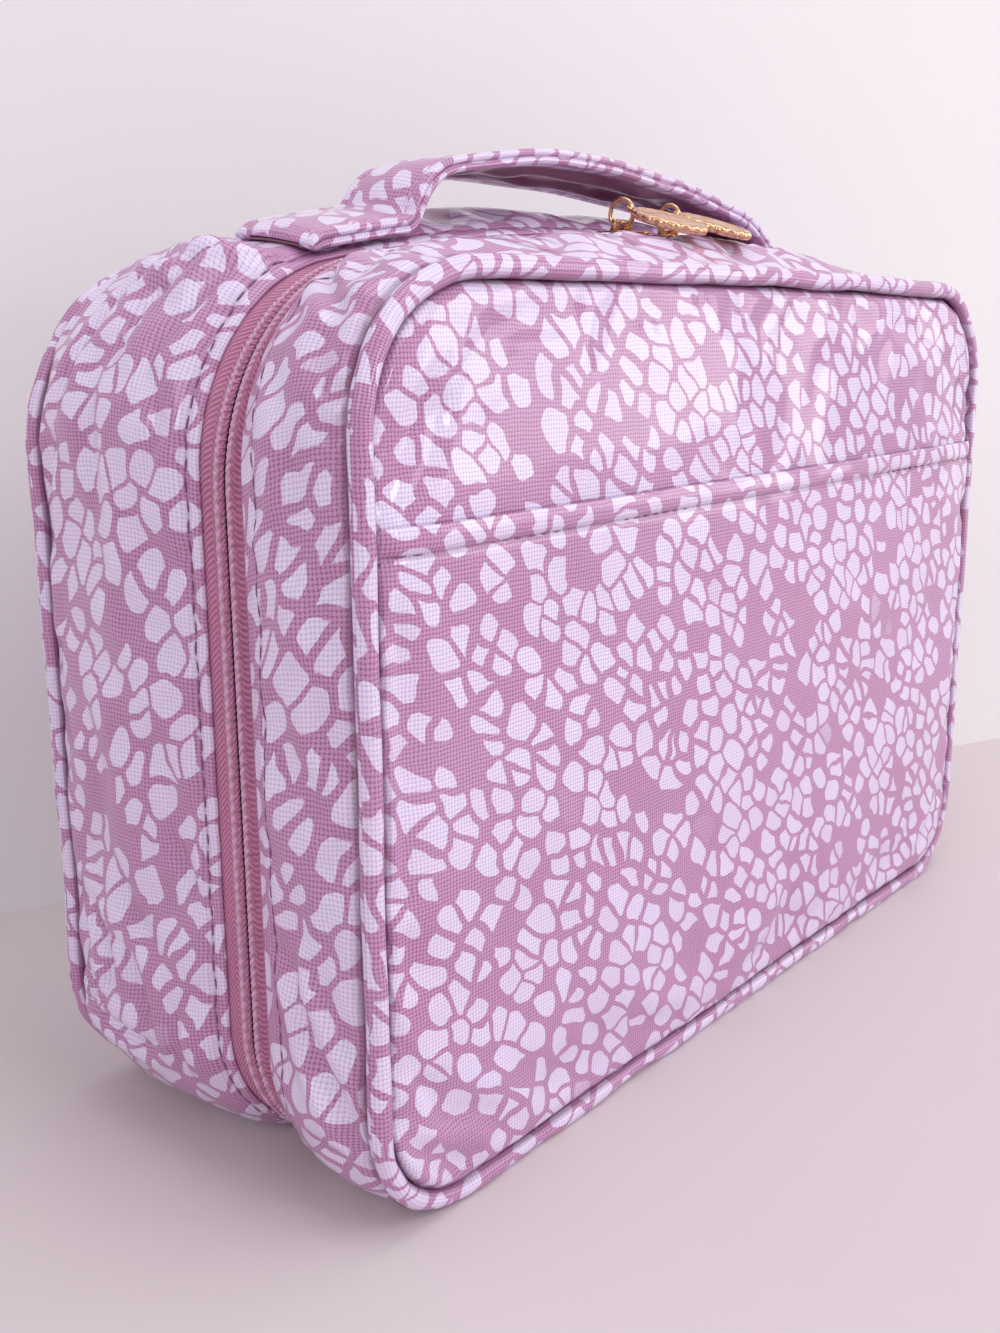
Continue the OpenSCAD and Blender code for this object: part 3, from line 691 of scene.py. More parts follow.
def print_group():
    """Irregular rounded pebbles, scattered close together at a slant."""
    tree, source, target = new_group(
        "Print", [("Vector", VECTOR), ("Cell", NUMBER), ("Light", TINT), ("Ground", TINT)],
        [("Color", TINT), ("Mask", NUMBER)])
    turned = fill(tree, add_node(tree, "ShaderNodeVectorRotate", rotation_type="Z_AXIS"),
                  Vector=source["Vector"], Angle=PRINT_TURN)[0]
    longer = vectors(tree, "MULTIPLY", turned, (0.82, 1.18, 1.0))
    scaled = vectors(tree, "SCALE", longer, Scale=sums(tree, "DIVIDE", 1.0, source["Cell"]))
    _, swirl = noise_at(tree, scaled, 0.9, 1.0)
    centred = vectors(tree, "SUBTRACT", swirl, (0.5, 0.5, 0.5))
    warped = vectors(tree, "MULTIPLY_ADD", centred, (0.75, 0.75, 0.0), scaled)
    near = add_node(tree, "ShaderNodeTexVoronoi", voronoi_dimensions="2D", feature="F1")
    edge = add_node(tree, "ShaderNodeTexVoronoi", voronoi_dimensions="2D",
                    feature="DISTANCE_TO_EDGE")
    for texture in (near, edge):
        fill(tree, texture, Vector=warped, Scale=1.0, Randomness=0.85)
    dice = fill(tree, add_node(tree, "ShaderNodeSeparateColor"), Color=near.outputs["Color"])
    low_noise, _ = noise_at(tree, scaled, 0.23, 1.0)
    gap = remap(tree, low_noise, 0.35, 0.65, 0.07, 0.16)
    inside = remap(tree, sums(tree, "SUBTRACT", edge.outputs["Distance"], gap), -0.012, 0.012)
    radius = remap(tree, dice[0], 0.0, 1.0, 0.42, 0.66, soft=False)
    within = remap(tree, sums(tree, "SUBTRACT", radius, near.outputs["Distance"]), -0.02, 0.02)
    kept = remap(tree, dice[1], 0.10, 0.12)
    mask = sums(tree, "MULTIPLY", sums(tree, "MULTIPLY", inside, within), kept)
    shade = remap(tree, dice[2], 0.0, 1.0, 0.88, 1.0, soft=False)
    share = sums(tree, "MULTIPLY", mask, shade)
    feed(tree, target["Color"], blend_colours(tree, share, source["Ground"], source["Light"]))
    feed(tree, target["Mask"], mask)
    return tree


def wear_group():
    """Uneven fading and specks of dust, as shares that vary over the surface."""
    tree, source, target = new_group("Wear", [("Vector", VECTOR), ("Size", NUMBER)],
                                     [("Fade", NUMBER), ("Dust", NUMBER)])
    scaled = vectors(tree, "SCALE", source["Vector"],
                     Scale=sums(tree, "DIVIDE", 1.0, source["Size"]))
    broad, _ = noise_at(tree, scaled, 1.0, 4.0)
    fine, _ = noise_at(tree, scaled, 22.0)
    feed(tree, target["Fade"], remap(tree, broad, 0.3, 0.75))
    feed(tree, target["Dust"], remap(tree, fine, 0.66, 0.78))
    return tree


GROUPS = {"Weave": weave_group, "Print": print_group, "Wear": wear_group}


def place_group(tree, name, **values):
    """A node of a shared group, with its values."""
    shared = bpy.data.node_groups.get(name) or GROUPS[name]()
    return fill(tree, add_node(tree, "ShaderNodeGroup", node_tree=shared), **values)


def start_material(name, kind, wear_size):
    """A new material, its tree and shader, its coordinates and its uneven wear."""
    material = bpy.data.materials.new(name)
    material.use_nodes = True
    tree = material.node_tree
    at = add_node(tree, "ShaderNodeTexCoord").outputs[kind]
    wear = place_group(tree, "Wear", Vector=at, Size=wear_size)
    return material, tree, tree.nodes["Principled BSDF"], at, wear


def bump(tree, shader, height, strength, distance):
    """Raises a shader's surface by a height."""
    made = add_node(tree, "ShaderNodeBump")
    fill(tree, made, Strength=strength, Distance=distance, Height=height)
    feed(tree, shader.inputs["Normal"], made.outputs[0])


def opaque(value, factor=1.0):
    """A colour property as a node's value, made lighter or darker by a factor."""
    return (*[min(1.0, c * factor) for c in value], 1.0)


def canvas_material(name, shine=0.8):
    """Printed plain weave under a clear laminate."""
    material, tree, shader, uv, wear = start_material(name, "UV", 0.05)
    c, sizes = colours(), cloth()
    print_ = place_group(tree, "Print", Vector=uv, Cell=sizes.print_cell,
                         Light=opaque(c.light), Ground=opaque(c.ground))
    weave = place_group(tree, "Weave", Vector=uv, Pitch=sizes.thread_pitch)
    # Painted shade in the seam ditches, topstitch grooves and under the pocket's hem
    seam = add_node(tree, "ShaderNodeAttribute", attribute_name=PAINTED_SEAM_SHADE).outputs["Fac"]
    depth = remap(tree, print_["Mask"], 0, 1, 0.8, 0.36, soft=False)
    pits = sums(tree, "MULTIPLY", weave["Pits"], depth)
    shade = blend_colours(tree, pits, print_["Color"], opaque(c.pit))
    shade = tint(tree, shade, wear["Fade"], 0.10, opaque(c.light, 0.9))
    shade = tint(tree, shade, wear["Dust"], 0.06, opaque(c.floor))
    # Painted shade: darkens those places towards a darker pit colour
    shade = tint(tree, shade, seam, 0.85, opaque(c.pit, 0.8))
    fill(tree, shader, Base_Color=shade, Coat_Roughness=0.09, Coat_IOR=1.45,
         Specular_IOR_Level=0.35, Roughness=remap(tree, wear["Fade"], 0, 1, 0.42, 0.56),
         Coat_Weight=remap(tree, wear["Fade"], 0, 1, shine, shine * 0.75))
    bump(tree, shader, weave["Height"], 0.5, 0.00016)
    return material


def ribbed_material(name, base, rib):
    """Woven tape with slanting ribs on both sides of its middle."""
    material, tree, shader, uv, wear = start_material(name, "UV", 0.02)
    x, y, _ = fill(tree, add_node(tree, "ShaderNodeSeparateXYZ"), Vector=uv)
    slant = sums(tree, "PINGPONG", y, 0.0027)
    run = sums(tree, "SUBTRACT", x, sums(tree, "MULTIPLY", slant, 1.8))
    ribs = sums(tree, "SINE", sums(tree, "MULTIPLY", run, 2 * math.pi / rib))
    height = remap(tree, ribs, -1, 1)
    shade = blend_colours(tree, height, opaque(base, 0.6), opaque(base, 1.1))
    fill(tree, shader, Base_Color=tint(tree, shade, wear["Fade"], 0.15, opaque(base, 1.4)),
         Roughness=0.62, Coat_Weight=0.05, Sheen_Weight=0.25, Sheen_Roughness=0.4)
    bump(tree, shader, height, 0.6, 0.0002)
    return material


def thread_material(name, base):
    """Twisted thread or a moulded tooth with fine grooves."""
    material, tree, shader, place, wear = start_material(name, "Object", 0.015)
    wave = add_node(tree, "ShaderNodeTexWave", wave_type="BANDS", bands_direction="DIAGONAL")
    twist = fill(tree, wave, Vector=place, Scale=1 / (0.0006 * 6), Distortion=1.5)["Fac"]
    shade = blend_colours(tree, twist, opaque(base, 0.72), opaque(base, 1.1))
    fill(tree, shader, Base_Color=tint(tree, shade, wear["Fade"], 0.2, opaque(base, 0.8)),
         Roughness=0.5, Sheen_Weight=0.2)
    bump(tree, shader, twist, 0.3, 0.0001)
    return material


def plain_cloth_material(name, base, pitch, shine):
    """Fine plain cloth with a soft gloss."""
    material, tree, shader, uv, wear = start_material(name, "UV", 0.03)
    weave = place_group(tree, "Weave", Vector=uv, Pitch=pitch)
    shade = blend_colours(tree, weave["Pits"], opaque(base, 1.08), opaque(base, 0.6))
    fill(tree, shader, Base_Color=tint(tree, shade, wear["Fade"], 0.22, opaque(base, 1.3)),
         Roughness=remap(tree, wear["Fade"], 0, 1, 0.38, 0.55), Coat_Weight=shine,
         Coat_Roughness=0.25)
    bump(tree, shader, weave["Height"], 0.3, 0.0001)
    return material


def gold_material(name):
    """Polished plated metal with fine scratches and worn patches."""
    material, tree, shader, place, wear = start_material(name, "Object", 0.004)
    base = colours().gold
    scratch, _ = noise_at(tree, place, 2600, 3.0)
    shade = blend_colours(tree, wear["Fade"], opaque(base), opaque(base, 0.86))
    fill(tree, shader, Base_Color=shade, Metallic=1.0,
         Roughness=remap(tree, wear["Fade"], 0, 1, 0.16, 0.34))
    bump(tree, shader, scratch, 0.05, 0.00005)
    return material


def stage_material(name, base, one_sided=False):
    """Plain matt paper with a faint grain, or a wall that shows from its front."""
    material, tree, shader, _, wear = start_material(name, "Object", 0.25)
    fill(tree, shader, Roughness=0.75,
         Base_Color=tint(tree, opaque(base), wear["Fade"], 0.35, opaque(base, 0.93)))
    if one_sided:
        behind = add_node(tree, "ShaderNodeNewGeometry").outputs["Backfacing"]
        clear = add_node(tree, "ShaderNodeBsdfTransparent").outputs[0]
        either = add_node(tree, "ShaderNodeMixShader")
        for socket, value in zip(either.inputs, (behind, shader.outputs[0], clear)):
            feed(tree, socket, value)
        feed(tree, tree.nodes["Material Output"].inputs["Surface"], either.outputs[0])
    return material


MATERIALS = {
    "canvas": canvas_material,
    "piping_canvas": lambda name: canvas_material(name, shine=0.6),
    "tape": lambda name: ribbed_material(name, colours().tape, 0.0012),
    "binding": lambda name: ribbed_material(name, colours().tape, 0.0007),
    "coil": lambda name: thread_material(name, colours().coil),
    "thread": lambda name: thread_material(name, colours().thread),
    "chain": lambda name: thread_material(name, colours().chain),
    "backing": lambda name: plain_cloth_material(name, colours().backing, 0.0005, 0.9),
    "lining": lambda name: plain_cloth_material(name, colours().lining, 0.0006, 0.15),
    "gold": gold_material,
    "floor": lambda name: stage_material(name, colours().floor),
    "wall": lambda name: stage_material(name, colours().wall, one_sided=True),
}


def material_of(name):
    """The material of that name, made when it is first asked for."""
    label = "case_" + name
    return bpy.data.materials.get(label) or MATERIALS[name](label)


# ---- stitches ----

STITCH_SIDES = 6
STITCH_RINGS = 4


def stitch_row(name, body, points, normals):
    """A row of topstitching along points."""
    s = cloth()
    row = long_balls(name, points, normals, s.stitch_pitch, s.stitch_l, s.stitch_r)
    dress(row, body, "thread", "tape")


def long_balls(name, points, normals, pitch, stitch_l, radius, slant=0.0):
    """A row of stitches along points: long balls, each sunk by half and turned by
    slant."""
    points, normals = np.asarray(points), np.asarray(normals)
    steps = np.linalg.norm(np.diff(points, axis=0), axis=1)
    run = np.concatenate([[0], np.cumsum(steps)])
    places = np.arange(pitch / 2, run[-1], pitch)

    def at(values, shift=0.0):
        return np.stack([np.interp(places + shift, run, values[:, k]) for k in range(3)], -1)

    def unit(values):
        return values / np.linalg.norm(values, axis=-1, keepdims=True)

    ahead = unit(at(points, pitch / 4) - at(points, -pitch / 4))
    across = unit(np.cross(at(normals), ahead))
    out = np.cross(ahead, across)
    along = ahead * math.cos(slant) + across * math.sin(slant)
    side = across * math.cos(slant) - ahead * math.sin(slant)
    bm = bmesh.new()
    bmesh.ops.create_uvsphere(bm, u_segments=STITCH_SIDES, v_segments=STITCH_RINGS, radius=1.0)
    rotate(bm, bm.verts, "Y")
    bmesh.ops.scale(bm, vec=(stitch_l / 2, radius, radius), verts=bm.verts)
    obj = from_bmesh(name, bm)
    ball = np.array([v.co for v in obj.data.vertices])
    row = obj.modifiers.new("Row", "ARRAY")
    row.count = len(places)
    shown = obj.evaluated_get(bpy.context.evaluated_depsgraph_get())
    obj.data = bpy.data.meshes.new_from_object(shown)
    obj.modifiers.remove(row)
    turned = np.stack([along, side, out], -1)
    spots = at(points)[:, None] + np.einsum("nij,kj->nki", turned, ball)
    obj.data.vertices.foreach_set("co", spots.astype(np.float32).ravel())
    obj.data.update()
    return obj


# ---- panels and pocket ----


class Plane:
    """The area inside a seam, given by its distance from the outline."""

    def __init__(self, seam_y, inset):
        self.inset = inset
        half, self.top_r, self.level, _, self.foot_r, self.base = (
            float(v) for v in outline(seam_y))
        self.corner_x, self.arch_r, self.arch_z, self.turn = (float(v) for v in arcs(seam_y))
        self.half, self.half_w = half, half - inset

    def edges(self, x):
        """Lowest and highest point at x."""
        x = np.abs(x)
        top_r, foot_r, arch_r = (r - self.inset for r in (self.top_r, self.foot_r, self.arch_r))
        past = np.clip(x - self.corner_x, 0, top_r)
        top = np.where(x < arch_r * math.sin(self.turn),
                       self.arch_z + np.sqrt(arch_r ** 2 - x ** 2),
                       self.level - self.top_r + np.sqrt(top_r ** 2 - past ** 2))
        past = np.clip(x - (self.half - self.foot_r), 0, foot_r)
        return self.base + self.foot_r - np.sqrt(foot_r ** 2 - past ** 2), top

    def distance(self, x, z):
        """Distance of a point from the area's edge."""
        low, top = self.edges(x)
        x = np.abs(x)
        half, top_r, foot_r, level, base = (self.half, self.top_r, self.foot_r, self.level,
                                            self.base)
        plain = np.minimum(half - self.inset - x, np.minimum(top - z, z - low))
        in_top = (x > half - top_r) & (z > level - top_r)
        in_foot = (x > half - foot_r) & (z < base + foot_r)
        corner = top_r - self.inset - np.hypot(x - half + top_r, z - level + top_r)
        foot = foot_r - self.inset - np.hypot(x - half + foot_r, z - base - foot_r)
        return np.select([in_top, in_foot], [corner, foot], plain).clip(0)

    def x_of(self, c):
        """x of a column, closer together round the corners."""
        start, corner = self.half - self.top_r, self.top_r - self.inset
        share = start / (start + corner * 1.3)
        turn = np.clip((np.abs(c) - share) / (1 - share), 0, 1) * np.pi / 2
        x = np.where(np.abs(c) < share, start * np.abs(c) / share,
                     start + corner * np.sin(turn))
        return np.sign(c) * x


# Folds of the two faces, as [points (x, z) in mm, depth in mm, width in mm]
FRONT_FOLDS = [
    ([(-124, 22), (-116, 13), (-104, 9)], 0.7, 1.8),
    ([(-120, 34), (-112, 22), (-98, 17)], 0.35, 2.6),
    ([(-122, 15), (-113, 9), (-101, 6)], 0.6, 1.1),
    ([(-118, 24), (-110, 19), (-106, 12)], 0.4, 1.2),
    ([(-126, 60), (-121, 96), (-125, 128)], 0.3, 3.0),
    ([(122, 30), (112, 17), (100, 10)], 0.6, 2.0),
    ([(-108, 158), (-96, 168), (-78, 171)], 0.3, 2.8),
    ([(60, 168), (92, 166), (110, 156)], 0.35, 3.0),
    ([(-60, 12), (-20, 9), (30, 13)], 0.25, 3.0),
    ([(-119, 148), (-116, 158), (-108, 165)], 0.5, 1.1),
    ([(-112, 150), (-108, 160), (-101, 164)], 0.6, 1.0),
    ([(-120, 138), (-113, 146), (-112, 153)], 0.4, 1.2),
    ([(-104, 158), (-96, 163), (-84, 164)], 0.3, 1.4),
]
BACK_FOLDS = [
    ([(-122, 30), (-112, 16), (-96, 11)], 0.6, 2.2),
    ([(120, 26), (108, 14), (94, 10)], 0.7, 2.0),
    ([(-118, 150), (-104, 164), (-84, 170)], 0.4, 3.0),
    ([(84, 172), (106, 162), (119, 146)], 0.4, 2.6),
    ([(-40, 60), (10, 52), (60, 58)], 0.3, 5.0),
]


def painted_shade_at_seam(distance):
    """Painted shade for a point at that distance from a seam, from 0 to 1."""
    return np.exp(-(distance / (0.8 * MM)) ** 2)


def fold_height(folds, a, b):
    """Height of a list of folds, given in millimetres."""
    total = 0.0
    for line, depth, width in folds:
        total = total + crease(a / MM, b / MM, line, depth, width)
    return total * MM


# Heights of a face's broad waves, of its small ones and of its pull at the seam,
# how far its edge dips, and how far its cloth may move while it settles
PANEL_WAVE, PANEL_RIPPLE, PANEL_PULL = 0.35 * MM, 0.10 * MM, 0.16 * MM
PANEL_DIP, PANEL_DIP_W = 1.4 * MM, 0.9 * MM
PANEL_GIVE = 0.9 * MM


class Panel:
    """The shape of the front or the back face. side is -1 at the front."""

    def __init__(self, side, folds, seed):
        self.side, self.folds, self.seed = side, folds, seed
        self.seam_y = FRONT_SEAM_Y if side < 0 else BACK_SEAM_Y
        self.plane = Plane(self.seam_y, cloth().panel_inset)
        self.field = None

    def height(self, x, z):
        """Height of the cloth over the seam's plane."""
        s = cloth()
        low, top = self.plane.edges(0.0)
        across, up = x / self.plane.half_w, (2 * z - low - top) / (top - low)
        edge = self.plane.distance(x, z)
        dome = (1 - np.abs(across) ** 2.4) * (1 - np.abs(up) ** 2.4)
        calm = soft_step(0, 0.012, edge)
        seam_pull = ripple(x, z, 0.009, self.seed + 3) * np.exp(-edge / 0.004)
        return (s.panel_level + s.dome * 0.8 * dome
                - PANEL_DIP * np.exp(-edge / PANEL_DIP_W)
                + PANEL_WAVE * calm * ripple(x, z, 0.07, self.seed)
                + PANEL_RIPPLE * calm * ripple(x, z, 0.022, self.seed + 1)
                + PANEL_PULL * seam_pull + fold_height(self.folds, x, z))

    def point(self, x, z, lift, c, v):
        """Place of a point, lifted over the cloth, and its UV."""
        y = self.seam_y + self.side * (self.height(x, z) + lift)
        points = np.stack([x, y, z], -1)
        if self.field is not None:
            points = points + settled(self.field, c, v)
        return points, np.stack([x * -self.side, z], -1)

    def place(self, c, v):
        """Place of column c and row v, its UV and its painted shade at the seam."""
        x = self.plane.x_of(c)
        low, top = self.plane.edges(x)
        z = mix(low, top, v)
        return (*self.point(x, z, 0.0, c, (z - low) / (top - low)),
                PANEL_SEAM_PAINTED_SHADE * painted_shade_at_seam(self.plane.distance(x, z)))

    def settle(self):
        """Lets the face's cloth settle between its seams."""
        def held(c, v):
            return (np.abs(c) > 0.999) | (v < 0.001) | (v > 0.999)
        self.field = settle(spread(66), spread(44, 0, 1), self.place, held, PANEL_GIVE)


COLUMNS, ROWS, POCKET_ROWS = 170, 118, 104
HEM_STITCH = 0.3 * MM


def hem_lift(z):
    """Height of the pocket's puffed hem over the pocket's cloth."""
    s = cloth()
    below = POCKET_TOP - z
    puff = np.sin(np.pi * np.clip(below / s.hem, 0, 1)) ** 0.6
    return 0.5 * MM * puff + groove(below - s.hem - HEM_STITCH, 0.35 * MM, 0.6 * MM)


def make_face(panel, name, body, *nodes):
    """One padded face of the case."""
    obj = make_grid(name, spread(COLUMNS), spread(ROWS, 0, 1), panel.place, flip=panel.side > 0)
    thicken(obj, cloth().canvas)
    dress(obj, body, "canvas", "canvas", *nodes)
    return obj


def make_pocket(panel):
    """The slip pocket over the lower part of the front face."""
    s, plane = cloth(), panel.plane
    hem_line = s.hem + HEM_STITCH

    def place(c, v):
        x = plane.x_of(c)
        low, top = plane.edges(x)
        z = mix(low, POCKET_TOP, 1 - (1 - v) ** 1.5)
        edge = plane.distance(x, z)
        mouth = soft_step(0.03, 0, POCKET_TOP - z) * soft_step(0, 0.02, edge)
        slack = 0.25 * MM * mouth * (1 + ripple(x, z, 0.05, 91))
        lift = s.gap + s.pocket + hem_lift(z) * soft_step(0, 0.003, edge) + slack
        # Painted shade below the hem's stitch line and in the seam
        painted_shade_under_hem = 0.7 * np.exp(-((POCKET_TOP - z - hem_line) / (0.45 * MM)) ** 2)
        return (*panel.point(x, z, lift, c, (z - low) / (top - low)),
                np.maximum(PANEL_SEAM_PAINTED_SHADE * painted_shade_at_seam(edge), painted_shade_under_hem))

    obj = make_grid("front_pocket_cloth", spread(COLUMNS), spread(POCKET_ROWS, 0, 1), place)
    thicken(obj, s.pocket)
    dress(obj, "lid", "canvas", "canvas", "front_pocket")
    xs = spread(260, -plane.half_w + 3 * MM, plane.half_w - 3 * MM)
    c = np.interp(xs, plane.x_of(spread(400)), spread(400))
    low, top = plane.edges(xs)
    z = np.full_like(xs, POCKET_TOP - hem_line)
    lift = s.gap + s.pocket - 0.28 * MM
    points, _ = panel.point(xs, z, lift, c, (z - low) / (top - low))
    stitch_row("front_pocket_stitches", "lid", points, np.tile([0.0, -1.0, 0.0], (len(xs), 1)))


class CASE_OT_faces(bpy.types.Operator):
    """Makes the padded front and back face and the slip pocket"""

    bl_idname = "makeup_case.faces"
    bl_label = "Faces and pocket"

    def execute(self, context):
        front = Panel(-1, FRONT_FOLDS, 11)
        front.settle()
        make_face(front, "front_panel_cloth", "lid", "front_panel", "front_panel_foam")
        make_pocket(front)
        back = Panel(1, BACK_FOLDS, 47)
        back.settle()
        make_face(back, "back_panel_cloth", "case", "back_panel", "back_panel_foam")
        return {"FINISHED"}


# ---- walls ----

# Folds of the walls, as [points (distance along the outline from the top middle,
# depth) in mm, depth in mm, width in mm]; the left side is negative
REAR_FOLDS = [
    ([(-101, -3), (-112, 8), (-123, 15), (-140, 18)], 1.3, 2.0),
    ([(-108, -4), (-120, 2), (-134, 6), (-150, 8)], 0.7, 1.5),
    ([(-111, 20), (-122, 27), (-138, 31), (-152, 32)], 0.8, 1.6),
    ([(-113, 36), (-122, 40), (-136, 41)], 0.5, 1.4),
    ([(-105, 32), (-110, 18), (-115, 6)], 0.9, 2.0),
    ([(-136, 44), (-156, 40), (-180, 44)], 0.8, 2.6),
    ([(-134, 23), (-150, 21), (-172, 20)], 0.6, 2.4),
    ([(-138, 4), (-152, 1)], 0.5, 1.8),
    ([(-150, 2), (-162, 5)], 0.45, 1.6),
    ([(-266, 42), (-270, 28), (-272, 13)], 1.2, 2.2),
    ([(-260, 6), (-278, 7)], 0.7, 1.8),
    ([(-250, 21), (-272, 13)], 0.8, 2.0),
    ([(-236, 44), (-252, 40), (-270, 44)], 0.7, 2.6),
    ([(-224, 5), (-232, 2), (-240, -2)], 0.6, 1.6),
    ([(-246, 34), (-254, 27), (-263, 30)], 0.7, 1.4),
    ([(-242, 38), (-248, 31), (-250, 22)], 0.6, 1.3),
    ([(-256, 38), (-261, 33), (-268, 35)], 0.6, 1.3),
    ([(-232, 26), (-244, 19), (-252, 8)], 0.5, 1.8),
    ([(-196, 30), (-214, 26), (-236, 30)], 0.4, 3.4),
    ([(102, -2), (114, 9), (128, 18), (144, 20)], 1.1, 2.2),
    ([(106, 34), (112, 18), (118, 6)], 0.7, 2.2),
    ([(150, 40), (170, 34), (196, 38)], 0.5, 3.0),
    ([(262, 40), (270, 24), (268, 8)], 1.0, 2.2),
    ([(240, 12), (256, 16), (276, 10)], 0.6, 2.2),
    ([(-60, 30), (-30, 36), (4, 33)], 0.5, 4.0),
    ([(20, 36), (52, 30), (80, 35)], 0.5, 4.0),
]
LID_FOLDS = [
    ([(-104, -20), (-114, -25), (-124, -34), (-130, -40)], 0.8, 1.8),
    ([(-92, -26), (-106, -31), (-130, -37), (-146, -38)], 0.7, 2.0),
    ([(-140, -28), (-152, -33), (-166, -34)], 0.45, 2.0),
    ([(-176, -40), (-190, -36), (-206, -40)], 0.3, 2.4),
    ([(-238, -27), (-252, -33), (-262, -40), (-274, -43)], 0.9, 2.0),
    ([(-226, -40), (-240, -36), (-254, -41)], 0.4, 2.0),
    ([(-20, -38), (10, -34), (44, -39)], 0.3, 3.0),
    ([(108, -21), (122, -31), (132, -40)], 0.8, 2.0),
    ([(150, -36), (176, -32), (200, -38)], 0.4, 2.6),
    ([(244, -26), (258, -34), (272, -42)], 0.8, 2.0),
]
WALL_STEPS = 560
FOLD_DEPTH = 1.9
# Heights of a wall's broad waves, of its small ones, and of its pull at the seam
# and along the topstitching
WALL_WAVE, WALL_RIPPLE, WALL_PULL, WALL_TUG = 0.5 * MM, 0.16 * MM, 0.18 * MM, 0.12 * MM
WALL_GIVE = 1.6 * MM
SEAM_STOP = 1.9 * MM
LID_TOPSTITCH, REAR_TOPSTITCH = 4.8 * MM, 2.4 * MM
DENT_DEPTH, DENT_Y, DENT_W = 3.2 * MM, -36 * MM, 10 * MM
CUSHION_DEPTH = 4.2 * MM


class Wall:
    """The shape of the lid's or the rear part's wall. side is -1 on the lid."""

    def __init__(self, side, folds, seed):
        self.side, self.folds, self.seed = side, folds, seed
        self.seam_y = FRONT_SEAM_Y if side < 0 else BACK_SEAM_Y
        self.edge_y = LID_EDGE_Y if side < 0 else REAR_EDGE_Y
        self.stop_y = self.seam_y - side * SEAM_STOP
        self.topstitch = LID_TOPSTITCH if side < 0 else REAR_TOPSTITCH
        self.half_l = outline_shares()[1]
        self.field = None

    def calm(self, u, y):
        """1 where the strap is sewn down on the wall, 0 away from it."""
        s = strap()
        from_end = np.abs(np.abs(u) * self.half_l - s.reach + s.sewn / 2) - s.sewn / 2
        return (soft_step(5 * MM, 1 * MM, from_end)
                * soft_step(5 * MM, 1 * MM, np.abs(y - STRAP_Y) - STRAP_HALF_W))

    def dent(self, run, y):
        """How far the lid's top is pressed in, where the charms rest and slide."""
        if self.side > 0:
            return 0.0
        return (DENT_DEPTH * soft_step(0.108, 0.088, np.abs(run))
                * np.exp(-((y - DENT_Y) / DENT_W) ** 2))

    def cushion(self, run, y):
        """How far the padding swells up round the strap's sewn ends."""
        if self.side < 0:
            return 0.0
        from_end = (np.abs(run) - strap().reach - 8 * MM) / (9 * MM)
        return CUSHION_DEPTH * np.exp(-from_end ** 2 - ((y - STRAP_Y - 2 * MM) / (15 * MM)) ** 2)

    def height(self, u, y):
        """Height of the cloth over the outline."""
        s = cloth()
        run = u * self.half_l
        from_seam, from_edge = np.abs(y - self.stop_y), np.abs(y - self.edge_y)
        base = soft_step(1.0, 0.95, np.abs(u))
        free = (soft_step(0, 0.010, from_seam) * soft_step(0, 0.008, from_edge) * base
                * (1 - self.calm(u, y)))
        slope = -s.edge_dip * soft_step(6 * MM, 0, from_edge)
        seam = -s.seam_dip * np.exp(-from_seam / (1.3 * MM)) - self.dent(run, y)
        pull = ripple(run, y, 0.010, self.seed + 3) * np.exp(-from_seam / 0.004)
        tug = ripple(run, y, 0.006, self.seed + 5) * np.exp(-np.abs(
            from_edge - self.topstitch) / (1.6 * MM))
        return (slope + seam + self.cushion(run, y) * free
                + groove(from_edge - self.topstitch, 0.42 * MM, 0.7 * MM)
                + WALL_WAVE * free * ripple(run, y * 1.4, 0.05, self.seed)
                + WALL_RIPPLE * free * ripple(run, y, 0.019, self.seed + 1)
                + (WALL_PULL * pull + WALL_TUG * tug) * base
                + FOLD_DEPTH * fold_height(self.folds, run, y) * base
                * (1 - 0.8 * self.calm(u, y)) * soft_step(0, 0.004, from_edge))

    def place(self, u, v, lift=0.0):
        """Place of share u at depth v, its UV and its painted shade in the seam and
        along the topstitching. Past the edge the cloth folds under."""
        r = cloth().fold_r
        past = np.maximum(0, self.side * (self.edge_y - v) + r)
        turn = np.minimum(past / r, np.pi)
        start = np.where(past > 0, self.edge_y + self.side * r, v)
        y = start - self.side * (r * np.sin(turn) - np.maximum(0, past - np.pi * r))
        base, normal = rim(u, y)
        height = self.height(u, start) - r * (1 - np.cos(turn))
        points = base + normal * (height + lift)[..., None]
        if self.field is not None:
            points = points + settled(self.field, u, start)
        points[..., Z] = np.maximum(points[..., Z], 0.05 * MM)
        # Painted shade along the topstitch groove and in the seam ditch, none where the cloth
        # folds under
        stitched = 0.4 * np.exp(-((np.abs(v - self.edge_y) - self.topstitch) / (0.4 * MM)) ** 2)
        seam = np.maximum(painted_shade_at_seam(np.abs(v - self.stop_y) - 0.35 * MM),
                          np.where(past > 0, 0, stitched))
        return points, np.stack([u * self.half_l, v], -1), seam

    def settle(self):
        """Lets the wall's cloth settle between its seam and the zip."""
        depths = np.linspace(*sorted((self.stop_y, self.edge_y)), 9 if self.side < 0 else 15)

        def held(u, y):
            edge = (np.abs(y - self.edge_y) < 4 * MM) | (np.abs(y - self.stop_y) < 2 * MM)
            return edge | (self.calm(u, y) > 0.5) | (np.abs(u) > 0.80)
        self.field = settle(spread(190), depths, self.place, held, WALL_GIVE)


def wall_rows(width, topstitch):
    """Distances of a wall's rows from its seam, close together where the cloth
    turns sharply: at the seam, along the topstitching and at the edge."""
    near_seam = np.array([0, 0.25, 0.5, 0.8, 1.2, 1.7, 2.3, 3.0]) * MM
    stitched = width - topstitch + np.array([-1.2, -0.8, -0.4, 0, 0.4, 0.8, 1.2]) * MM
    count = round((stitched[0] - near_seam[-1]) / (1.5 * MM))
    between = np.linspace(near_seam[-1], stitched[0], count + 1)[1:-1]
    rest = max(2, round((width - stitched[-1]) / (1.2 * MM)) + 1)
    last = np.linspace(stitched[-1], width, rest)[1:] if stitched[-1] < width else []
    return np.concatenate([near_seam, between, stitched, last])


